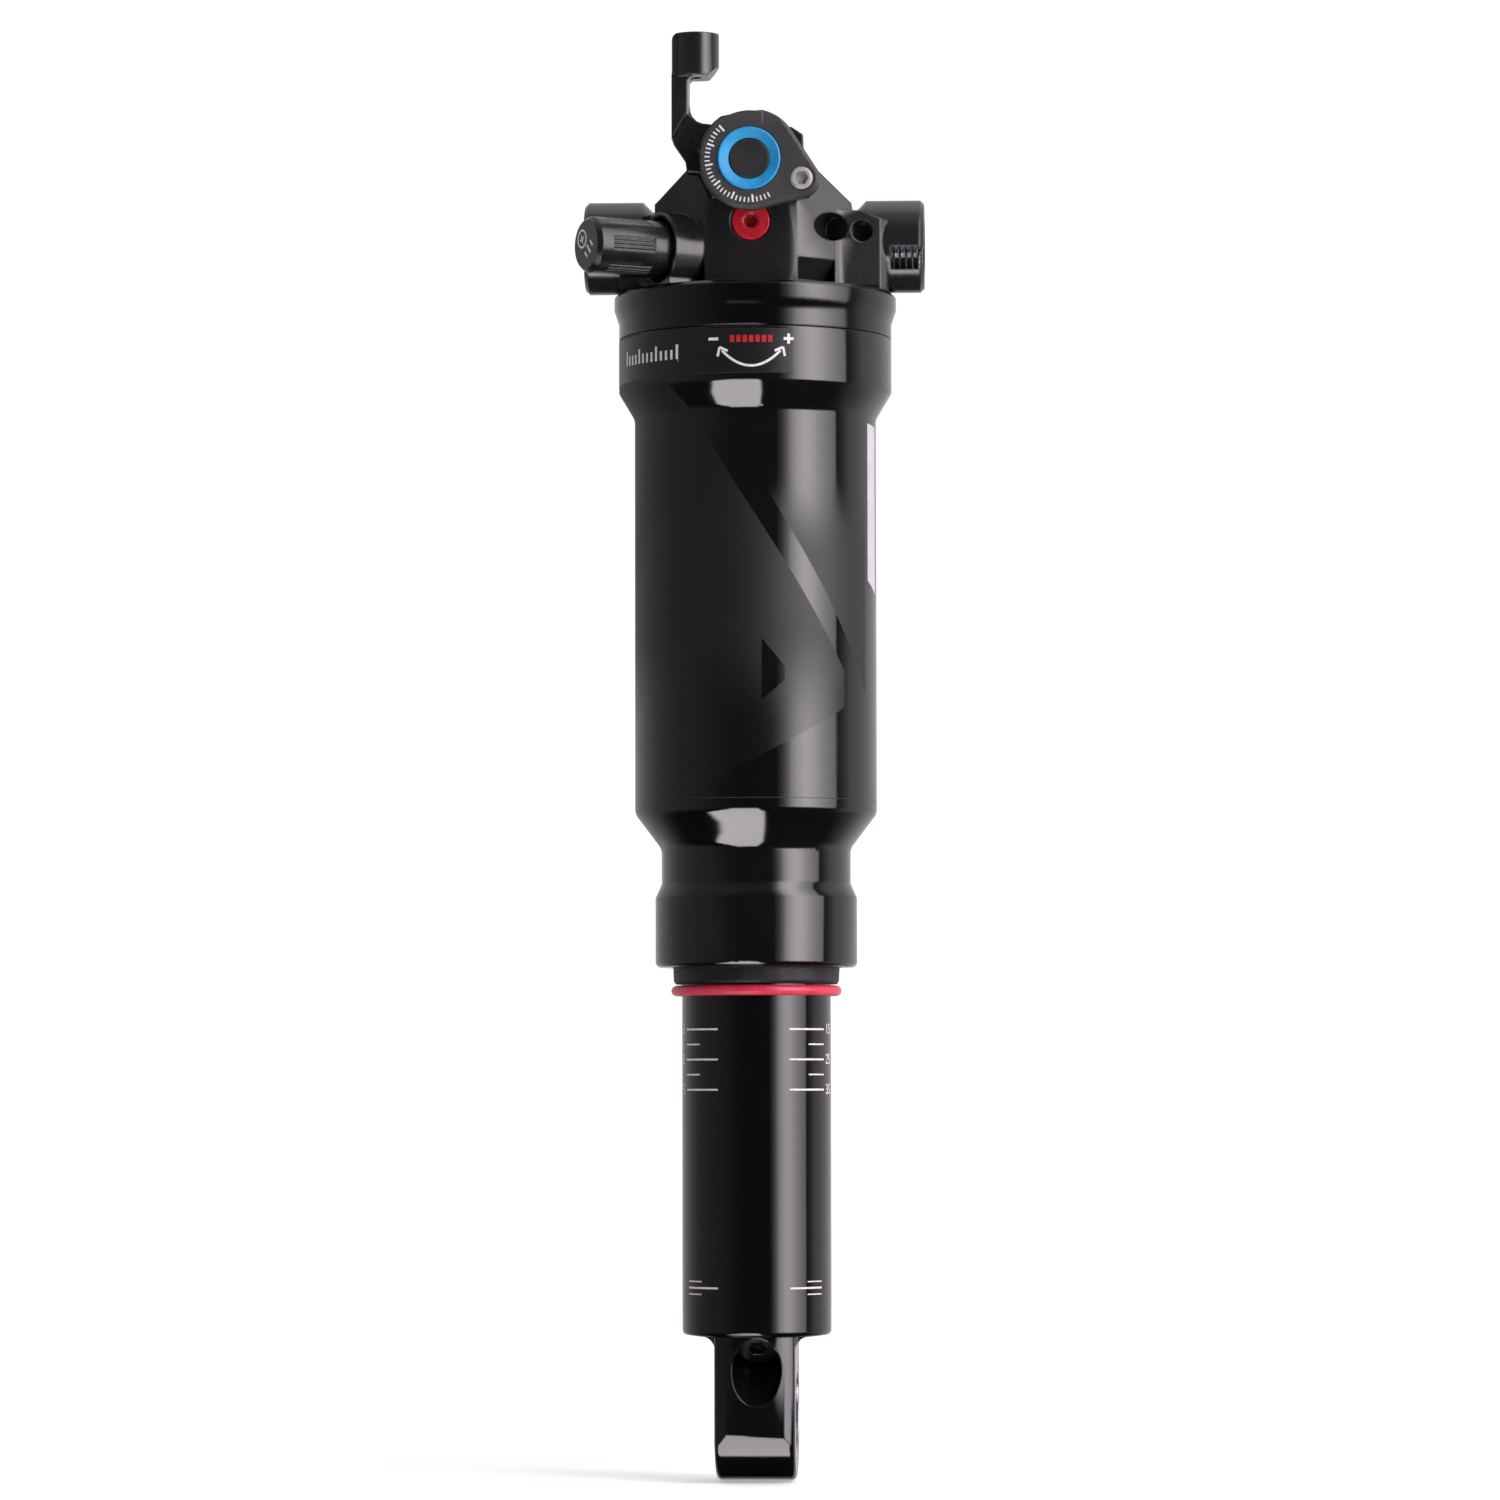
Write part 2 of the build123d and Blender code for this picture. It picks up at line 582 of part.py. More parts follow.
FLUTE_START = 7.2
FLUTE_LENGTH = 7.4
FLUTE_R = 0.24
FLUTE_CIRCLE_R = 4.52
FLUTE_PITCH = 8  # degrees, within a group of four
with BuildPart() as valve_cap:
    turn([
        (2.6, 3.92), (2.6, 4.2), (2.85, 4.45), (16.6, 4.45),
        (17.3, 3.85), (17.3, 0), (15.6, 0), (15.6, 3.92),
    ], VALVE)
    # fine flutes in groups of four round the side
    flute_ring_centre = moved_along(VALVE_POINT, VALVE_DIR, FLUTE_START)
    valve_across = (-VALVE_DIR[1], VALVE_DIR[0], 0)
    for group in range(6):
        for k in range(4):
            across, up = polar(FLUTE_CIRCLE_R, 60 * group + FLUTE_PITCH * (k - 1.5))
            start = moved_along(flute_ring_centre, valve_across, across)
            start = moved_along(start, (0, 0, 1), up)
            rod(start, VALVE_DIR, FLUTE_R, FLUTE_LENGTH, CUT)
save(valve_cap, "valve_cap")

# ---------------------------------------------------------------- cable stop
STOP_LEFT_X = -12.2
BAR_RIGHT_X = -9.7
# Rounded inside corner between the bar and the barrel: x, z
INSIDE_CORNER = [
    (-9.9, 24.9), (-9.9, 23.6), (BAR_RIGHT_X, 23.6), (-9.62, 24.05), (-9.38, 24.4),
    (-9.0, 24.63), (-8.6, 24.7), (-8.6, 24.9),
]
TOP_ROUND_R = 1.2
TOP_ROUND_X = STOP_LEFT_X + TOP_ROUND_R
TOP_ROUND_Z = 30.25
# Waste outside the rounded top left corner: x, z
TOP_CORNER = [(-12.6, 32.0), (TOP_ROUND_X, 32.0)]
for degrees in range(0, 91, 15):
    rise, reach = polar(TOP_ROUND_R, degrees)
    TOP_CORNER.append((TOP_ROUND_X - reach, TOP_ROUND_Z + rise))
TOP_CORNER.append((-12.6, TOP_ROUND_Z))

with BuildPart() as cable_stop:
    # plate behind the spool
    front_shape(PLATE, STOP_FRONT_Y, -12.02)
    # upright bar
    bar = [(STOP_LEFT_X, 14.65), (BAR_RIGHT_X, 19.0), (BAR_RIGHT_X, 25.0), (STOP_LEFT_X, 25.0)]
    front_shape(bar, -19.6, -12.3)
    # housing stop: barrel and the block on its left
    with BuildSketch(level(24.7)) as stop_plan:
        with Locations((-10.35, -16.85)):
            Rectangle(3.7, 5.5)
        left_corners = stop_plan.vertices().group_by(Axis.X)[0]
        fillet(left_corners, 0.9)
        with Locations((CABLE_X, CABLE_Y)):
            Circle(3.65)
    extrude(amount=6.75)
    # sloped foot of the barrel on its right side
    front_shape([(-4.5, 24.45), (-4.5, 26.7), (-6.75, 24.45)], -22, -12, CUT)
    front_shape(INSIDE_CORNER, -19.6, -14.2)
    front_shape(TOP_CORNER, -24, -10, CUT)
    # housing seat and cable hole
    rod((CABLE_X, CABLE_Y, 26.0), (0, 0, 1), 2.6, 8.0, CUT)
    rod((CABLE_X, CABLE_Y, 22.0), (0, 0, 1), 0.9, 6.0, CUT)
    # hub opening
    front_disc(0, SPOOL_Z, 4.8, -20, -10, CUT)
    # countersunk screw holes
    for x, z in STOP_SCREWS:
        front_disc(x, z, 1.3, -20, -10, CUT)
        countersink = [(0, -14.7), (2.3, -14.7), (1.2, -13.3), (0, -13.3)]
        turn(countersink, front_turning(x, z), CUT)
save(cable_stop, "cable_stop")

with BuildPart() as cable_stop_screws:
    for x, z in STOP_SCREWS:
        screw = [(0, STOP_FRONT_Y), (2.1, STOP_FRONT_Y), (1.12, -13.3), (1.12, -7.0), (0, -7.0)]
        turn(screw, front_turning(x, z))
        hex_socket(x, z, flat_r=0.75, y_floor=-13.7, depth=2)
save(cable_stop_screws, "cable_stop_screws")

# ---------------------------------------------------------------- spool
with BuildPart() as cable_spool:
    turn([
        (0, -18.4), (7.9, -18.4), (7.9, -17.8), (6.9, -17.4), (6.9, -16.7), (7.5, -16.3),
        (7.5, -15.9), (7.3, -15.6), (5.0, -15.6), (5.0, -16.3), (3.3, -16.3),
        (HUB_R, -15.9), (HUB_R, -3.1), (0, -3.1),
    ], SPOOL)
    # lobe that takes the pinch bolt
    with BuildSketch(front_plane(-15.7)):
        with Locations((LOBE_X, LOBE_Z)):
            Circle(2.5)
        with Locations((5.6, SPOOL_Z - 0.4)):
            Circle(2.3)
        with Locations((4.4, SPOOL_Z - 4.2)):
            Circle(2.3)
        make_hull()
    extrude(amount=2.7)
    # cam at the inner end of the hub
    cam_x = CAM_OFFSET * math.sin(CAM_ANGLE)
    cam_z = SPOOL_Z + CAM_OFFSET * math.cos(CAM_ANGLE)
    front_disc(cam_x, cam_z, CAM_R, -3.2, 1.6)
    # stop notches on the rim at the upper right
    for degrees in (18.0, 42.0):
        notch_x, notch_rise = polar(8.3, degrees)
        front_disc(notch_x, SPOOL_Z + notch_rise, 1.1, -19, -15.0, CUT)
    # hole for the centre screw
    front_disc(0, SPOOL_Z, 1.55, -19, -9.0, CUT)
    # hole for the pinch bolt
    front_disc(LOBE_X, LOBE_Z, PINCH_HOLE_R, -19, -15.0, CUT)
save(cable_spool, "cable_spool")

# Cuts on the cover's rim, from the front: x, z from the spool's axis
TOP_FLAT = [(-9.5, 6.0), (-2.6, 6.95), (2.1, 7.65), (2.3, 9.0), (-9.5, 9.0)]
LEFT_FLAT = [(-9.0, -4.5), (-7.6, -4.5), (-7.6, 4.5), (-9.0, 4.5)]
# Facet section, from the side: y, z from the spool's axis
UPPER_FACET = [(-20.9, 5.15), (-19.5, 8.6), (-22.0, 8.6), (-22.0, 5.15)]


def from_spool(outline):
    return [(x, SPOOL_Z + z) for x, z in outline]


with BuildPart() as spool_cover:
    with BuildSketch(front_plane(-18.42)):
        with Locations((0, SPOOL_Z)):
            Circle(8.0)
        with Locations((LOBE_X, LOBE_Z)):
            Circle(2.85)
        make_hull()
    extrude(amount=2.38)
    rim = spool_cover.faces().sort_by(Axis.Y)[0].outer_wire().edges()
    chamfer(rim, 0.45)
    front_shape(from_spool(TOP_FLAT), -21, -18, CUT)
    front_shape(from_spool(LEFT_FLAT), -21, -18, CUT)
    # sloping facet on the upper right of the front face
    prism(side_plane(2.1), from_spool(UPPER_FACET), 8.0, CUT)
    # recess for the ring and the centre cap, and the counterbored centre hole
    for radius, y_back in ((5.0, -19.9), (2.75, -19.2), (1.55, -18.0)):
        front_disc(0, SPOOL_Z, radius, -22, y_back, CUT)
    # pinch bolt counterbore and hole
    for radius, y_back in ((1.9, -19.8), (PINCH_HOLE_R, -18.0)):
        front_disc(LOBE_X, LOBE_Z, radius, -22, y_back, CUT)
save(spool_cover, "spool_cover")

turned_part("spool_ring", [
    (3.25, -19.92), (4.93, -19.92), (4.93, -21.0), (4.7, -21.1), (3.25, -20.5),
], SPOOL)

turned_part("spool_cap", [
    (0, -19.94), (3.2, -19.94), (3.2, -20.4), (3.05, -20.55), (0, -20.55),
], SPOOL)

with BuildPart() as spool_screw:
    turn([
        (0, -19.85), (2.6, -19.85), (2.6, -19.25), (1.45, -19.25), (1.45, -9.6), (0, -9.6),
    ], SPOOL)
    hex_socket(0, SPOOL_Z, flat_r=1.0, y_floor=-19.3, depth=2)
save(spool_screw, "spool_screw")

with BuildPart() as pinch_bolt:
    turn([
        (0, -21.15), (1.5, -21.15), (1.78, -20.85), (1.78, -19.85),
        (1.0, -19.85), (1.0, -15.9), (0, -15.9),
    ], front_turning(LOBE_X, LOBE_Z))
    hex_socket(LOBE_X, LOBE_Z, flat_r=1.0, y_floor=-20.2, depth=2)
save(pinch_bolt, "pinch_bolt")

turned_part("spool_bushing", [
    (HUB_R + HUB_GAP, -11.95), (HUB_BORE_R - HUB_GAP, -11.95),
    (HUB_BORE_R - HUB_GAP, -4.15), (HUB_R + HUB_GAP, -4.15),
], SPOOL)

SPRING_PITCH = 0.9
SPRING_TURNS = 3
with BuildPart() as spool_spring:
    with BuildLine() as coil:
        Helix(
            pitch=SPRING_PITCH,
            height=SPRING_TURNS * SPRING_PITCH,
            radius=4.05,
            center=lifted((0, -12.6, SPOOL_Z)),
            direction=(0, -1, 0),
        )
    with BuildSketch(Plane(origin=coil.line @ 0, z_dir=coil.line % 0)):
        Circle(0.3)
    sweep(path=coil.line, is_frenet=True)
save(spool_spring, "spool_spring")

# ---------------------------------------------------------------- rebound adjuster
with BuildPart() as rebound_knob:
    turn([
        (0, -14.6), (2.85, -14.6), (3.1, -14.35), (3.1, -12.9),
        (2.45, -12.9), (2.45, -1.6), (0, -1.6),
    ], KNOB)
    # crank pin at the inner end
    front_disc(-CRANK, KNOB_Z, 0.45, -1.7, -0.32)
    hex_socket(0, KNOB_Z, flat_r=1.0, y_floor=-12.4, depth=3)
    # lead-in round the socket
    turn([(0, -14.7), (1.45, -14.7), (1.2, -14.35), (0, -14.35)], KNOB, CUT)
save(rebound_knob, "rebound_knob")
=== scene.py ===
"""Air shock absorber with a trunnion head, standing upright on a pale studio floor.

The origin is the centre of the lower eye, +Z runs up the shaft to the trunnion axis,
the front faces -Y and +X is the viewer's right. The CAD pieces get finishes and smooth
shading; marks, labels and trunnion threads are added as thin closed pieces.
"""
import json
import math

import bmesh
import bpy
from mathutils import Matrix, Vector


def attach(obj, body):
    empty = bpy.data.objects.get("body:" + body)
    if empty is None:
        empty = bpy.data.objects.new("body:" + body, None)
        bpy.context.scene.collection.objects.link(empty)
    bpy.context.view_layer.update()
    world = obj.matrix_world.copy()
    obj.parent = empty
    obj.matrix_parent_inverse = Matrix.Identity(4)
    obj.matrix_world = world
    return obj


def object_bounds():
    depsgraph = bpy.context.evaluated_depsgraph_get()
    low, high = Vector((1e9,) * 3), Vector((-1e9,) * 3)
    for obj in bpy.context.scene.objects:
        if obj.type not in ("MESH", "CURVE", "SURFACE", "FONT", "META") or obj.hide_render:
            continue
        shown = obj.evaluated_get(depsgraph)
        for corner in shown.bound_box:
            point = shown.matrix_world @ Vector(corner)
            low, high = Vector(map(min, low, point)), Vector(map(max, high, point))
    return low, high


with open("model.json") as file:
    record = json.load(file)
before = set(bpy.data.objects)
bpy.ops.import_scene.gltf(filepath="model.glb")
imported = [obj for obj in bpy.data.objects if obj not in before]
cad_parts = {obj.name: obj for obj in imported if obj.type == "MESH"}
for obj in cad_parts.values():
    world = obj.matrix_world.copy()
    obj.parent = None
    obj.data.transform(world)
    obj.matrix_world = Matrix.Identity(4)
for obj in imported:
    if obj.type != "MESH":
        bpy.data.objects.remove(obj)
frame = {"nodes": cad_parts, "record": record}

cad_box = [list(corner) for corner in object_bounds()]
scene = bpy.context.scene

# ------------------------------------------------------------------ driving dimensions
MM = 0.001  # the dimensions below are in mm
TRUNNION_Z = 185.0  # trunnion axis above the eye's centre
TUBE_RADIUS = 11.8  # damper tube
CAN_RADIUS = 19.2  # the can's long tube
COLLAR_RADIUS = 21.7  # collar at the top of the can
SPOOL_Z = 196.4  # lockout spool's axis height
SPOOL_FACE_Y = -20.8

# The valve points to the front left, turned this far from -X
VALVE_TURN = math.radians(32.0)
VALVE_DIRECTION = Vector((-math.cos(VALVE_TURN), -math.sin(VALVE_TURN), 0.0))
VALVE_ACROSS = Vector((-VALVE_DIRECTION.y, VALVE_DIRECTION.x, 0.0))
VALVE_ORIGIN = Vector((-11.0, -9.5, 183.3)) * MM
VALVE_CAP_END = 17.3  # cap's end face, along the valve from its origin

# Bottom and top of the thin pieces, measured outwards from the surface they lie on
MARK_LAYER = (-0.02, 0.018)
LABEL_LAYER = (-0.03, 0.02)
SEAM_LAYER = (-0.02, 0.012)
COLLAR_PRINT_LAYER = (0.0, 0.034)
FACE_PRINT_LAYER = (-0.01, 0.02)

CAMERA_AZIMUTH = 2.6  # degrees round from the front towards +X; the light turns with it


# ------------------------------------------------------------------ shader nodes
class Nodes:
    """Builds a node tree. A value is either a socket to link or a constant to set."""

    def __init__(self, tree):
        self.tree = tree
        tree.nodes.clear()

    def add(self, kind, inputs=None, **settings):
        node = self.tree.nodes.new(kind)
        for name, value in settings.items():
            setattr(node, name, value)
        for key, value in (inputs or {}).items():
            if isinstance(value, bpy.types.NodeSocket):
                self.tree.links.new(value, node.inputs[key])
            else:
                node.inputs[key].default_value = value
        return node

    def math(self, operation, first, second=0.0):
        return self.add("ShaderNodeMath", {0: first, 1: second}, operation=operation).outputs[0]

    def times(self, first, second):
        return self.math("MULTIPLY", first, second)

    def remap(self, value, start, end, start_value=0.0, end_value=1.0):
        """Smooth step from start_value to end_value as value goes from start to end."""
        inputs = {
            "Value": value, "From Min": start, "From Max": end,
            "To Min": start_value, "To Max": end_value,
        }
        node = self.add("ShaderNodeMapRange", inputs, interpolation_type="SMOOTHSTEP")
        return node.outputs["Result"]

    def window(self, value, start, end, softness):
        """One between start and end, zero outside."""
        opening = self.remap(value, start - softness, start + softness)
        closing = self.remap(value, end - softness, end + softness)
        return self.times(opening, self.math("SUBTRACT", 1.0, closing))

    def noise(self, coords, scale, detail=4.0, roughness=0.55):
        inputs = {"Vector": coords, "Scale": scale, "Detail": detail, "Roughness": roughness}
        return self.add("ShaderNodeTexNoise", inputs).outputs["Fac"]

    def mix(self, factor, first, second):
        """Colour mix; constants are RGB tuples."""
        first, second = (
            (*colour, 1.0) if isinstance(colour, tuple) else colour for colour in (first, second)
        )
        # inputs 0, 6 and 7 are the factor and the two colours, output 2 is the colour
        inputs = {0: factor, 6: first, 7: second}
        return self.add("ShaderNodeMix", inputs, data_type="RGBA").outputs[2]

    def separate(self, vector):
        return self.add("ShaderNodeSeparateXYZ", {0: vector}).outputs

    def grey_ramp(self, factor, stops):
        """Linear ramp through (position, grey) stops, as a number."""
        node = self.add("ShaderNodeValToRGB", {0: factor})
        node.color_ramp.interpolation = "LINEAR"
        elements = node.color_ramp.elements
        elements[0].position = 0.0
        elements[1].position = 1.0
        last = len(stops) - 1
        for i, (position, grey) in enumerate(stops):
            if i == 0:
                element = elements[0]
            elif i == last:
                element = elements[len(elements) - 1]
            else:
                element = elements.new(position)
            element.position = position
            element.color = (grey, grey, grey, 1)
        return self.add("ShaderNodeRGBToBW", {0: node.outputs[0]}).outputs[0]


# ------------------------------------------------------------------ finishes
BLACK = (0.0022, 0.0021, 0.0024)
SPECK_GREY = (0.30, 0.30, 0.30)
COAT_ROUGHNESS = 0.04
BUMP_DISTANCE = 0.00004  # metres


def can_graphic(nodes, coords, roughness):
    """A slanted satin band over a fading satin field, laid into the can's gloss finish.

    arc is the length round the tube from the front towards +X and z the height, in mm.
    """
    x, y, height = nodes.separate(coords)
    arc = nodes.times(nodes.math("ARCTAN2", x, nodes.times(y, -1.0)), CAN_RADIUS)
    z = nodes.times(height, 1000.0)

    def above(slope, offset):
        """One above the line z = slope * arc + offset."""
        line = nodes.math("ADD", nodes.times(arc, slope), offset)
        return nodes.remap(nodes.math("SUBTRACT", z, line), -0.12, 0.12)

    def below(slope, offset):
        return nodes.math("SUBTRACT", 1.0, above(slope, offset))

    def right_of_left_edge():
        return nodes.remap(arc, -30.0, -29.7)

    # upper band, fading out towards the top
    front = nodes.times(right_of_left_edge(), nodes.remap(arc, 22.2, 22.5, 1.0, 0.0))
    upper = nodes.times(above(-1.60, 148.8), nodes.remap(z, 149.5, 134.0))
    upper = nodes.times(upper, front)
    # lower field, weaker towards its bottom
    lower = nodes.times(below(-1.56, 142.0), above(0.52, 102.2))
    lower = nodes.times(lower, nodes.remap(arc, 16.3, 16.6, 1.0, 0.0))
    lower = nodes.times(lower, right_of_left_edge())
    lower = nodes.times(lower, nodes.remap(z, 106.0, 124.0, 0.45, 1.0))
    # gloss gap inside the lower field
    gap = nodes.times(below(-1.19, 123.4), above(0.84, 110.2))
    gap_left = nodes.remap(arc, 1.7, 1.9)
    gap_right = nodes.remap(arc, 5.4, 5.6, 1.0, 0.0)
    gap = nodes.times(gap, nodes.times(gap_left, gap_right))
    lower = nodes.times(lower, nodes.math("SUBTRACT", 1.0, gap))
    satin = nodes.math("MAXIMUM", upper, lower)
    return nodes.math("ADD", roughness, nodes.times(satin, 0.46))


def edge_wear(nodes, coords, edge, wear):
    """Wear mask: strong where the rounded normal leaves the face normal, broken by noise."""
    rounded = nodes.add("ShaderNodeBevel", {"Radius": edge * 1.4}, samples=4)
    face = nodes.add("ShaderNodeNewGeometry")
    agreement = nodes.add(
        "ShaderNodeVectorMath",
        {0: rounded.outputs[0], 1: face.outputs["Normal"]},
        operation="DOT_PRODUCT",
    )
    mask = nodes.remap(agreement.outputs["Value"], 0.995, 0.86)
    broken = nodes.remap(nodes.noise(coords, scale=900.0), 0.42, 0.62, 0.15, 1.0)
    return nodes.times(nodes.times(mask, broken), wear)


def surface_normal(nodes, coords, grain, edge, bump, turned, turned_scale):
    """Grain and turning lines as a bump on a slightly rounded normal."""
    rounded = nodes.add("ShaderNodeBevel", {"Radius": edge}, samples=4)
    height = grain
    if turned:
        inputs = {"Scale": turned_scale, "Distortion": 1.5, "Detail": 2.0, "Vector": coords}
        wave = nodes.add("ShaderNodeTexWave", inputs, wave_type="BANDS", bands_direction="Z")
        lines = nodes.times(wave.outputs["Fac"], turned)
        height = nodes.math("ADD", lines, nodes.times(grain, 0.5))
    inputs = {
        "Strength": bump, "Distance": BUMP_DISTANCE,
        "Height": height, "Normal": rounded.outputs[0],
    }
    return nodes.add("ShaderNodeBump", inputs).outputs[0]


def make_finish(
    name, base, tint, rough, patch, grain, bump, metallic=0.0, coat=0.0, level=0.5,
    turned=0.0, turned_scale=None, wear=0.35, wear_colour=(0.25, 0.25, 0.26), edge=0.00025,
    dust=0.0, graphic=None, machined=None,
):
    """Procedural finish.

    base, tint: colours mixed over patches; patch, grain: noise scales
    rough: roughness range driven by the grain; level: specular level
    turned: strength of the turning lines, turned_scale: their wave scale
    wear, wear_colour, edge: edge wear and the edge's radius in metres
    dust: amount of pale specks; graphic: function that changes the roughness
    machined: height in metres below which the surface is turned smooth and black
    """
    mat = bpy.data.materials.new(name)
    mat.use_nodes = True
    nodes = Nodes(mat.node_tree)
    output = nodes.add("ShaderNodeOutputMaterial")
    coords = nodes.add("ShaderNodeTexCoord").outputs["Object"]
    patches = nodes.noise(coords, patch, detail=3.0)
    fine = nodes.noise(coords, grain, detail=5.0, roughness=0.6)

    colour = nodes.mix(nodes.remap(patches, 0.35, 0.68), base, tint)
    if dust:
        specks = nodes.noise(coords, scale=5200.0, detail=2.0, roughness=0.5)
        amount = nodes.times(nodes.remap(specks, 0.70, 0.78), dust)
        colour = nodes.mix(amount, colour, SPECK_GREY)
    colour = nodes.mix(edge_wear(nodes, coords, edge, wear), colour, wear_colour)
    roughness = nodes.remap(fine, 0.3, 0.72, rough[0], rough[1])
    if machined is not None:
        height = nodes.separate(coords)["Z"]
        turned_part = nodes.remap(height, machined - 0.0002, machined + 0.0001, 1.0, 0.0)
        colour = nodes.mix(turned_part, colour, BLACK)
        smoother = nodes.times(turned_part, rough[0] * 0.5)
        roughness = nodes.math("SUBTRACT", roughness, smoother)
    smudge = nodes.remap(nodes.noise(coords, scale=55.0, detail=3.0), 0.45, 0.75, 0.0, 0.05)
    roughness = nodes.math("ADD", roughness, smudge)
    if graphic is not None:
        roughness = graphic(nodes, coords, roughness)

    inputs = {
        "Base Color": colour,
        "Roughness": roughness,
        "Metallic": metallic,
        "Specular IOR Level": level,
        "Normal": surface_normal(nodes, coords, fine, edge, bump, turned, turned_scale),
    }
    if coat:
        inputs.update({"Coat Weight": coat, "Coat Roughness": COAT_ROUGHNESS})
    surface = nodes.add("ShaderNodeBsdfPrincipled", inputs)
    nodes.tree.links.new(surface.outputs[0], output.inputs[0])
    return mat


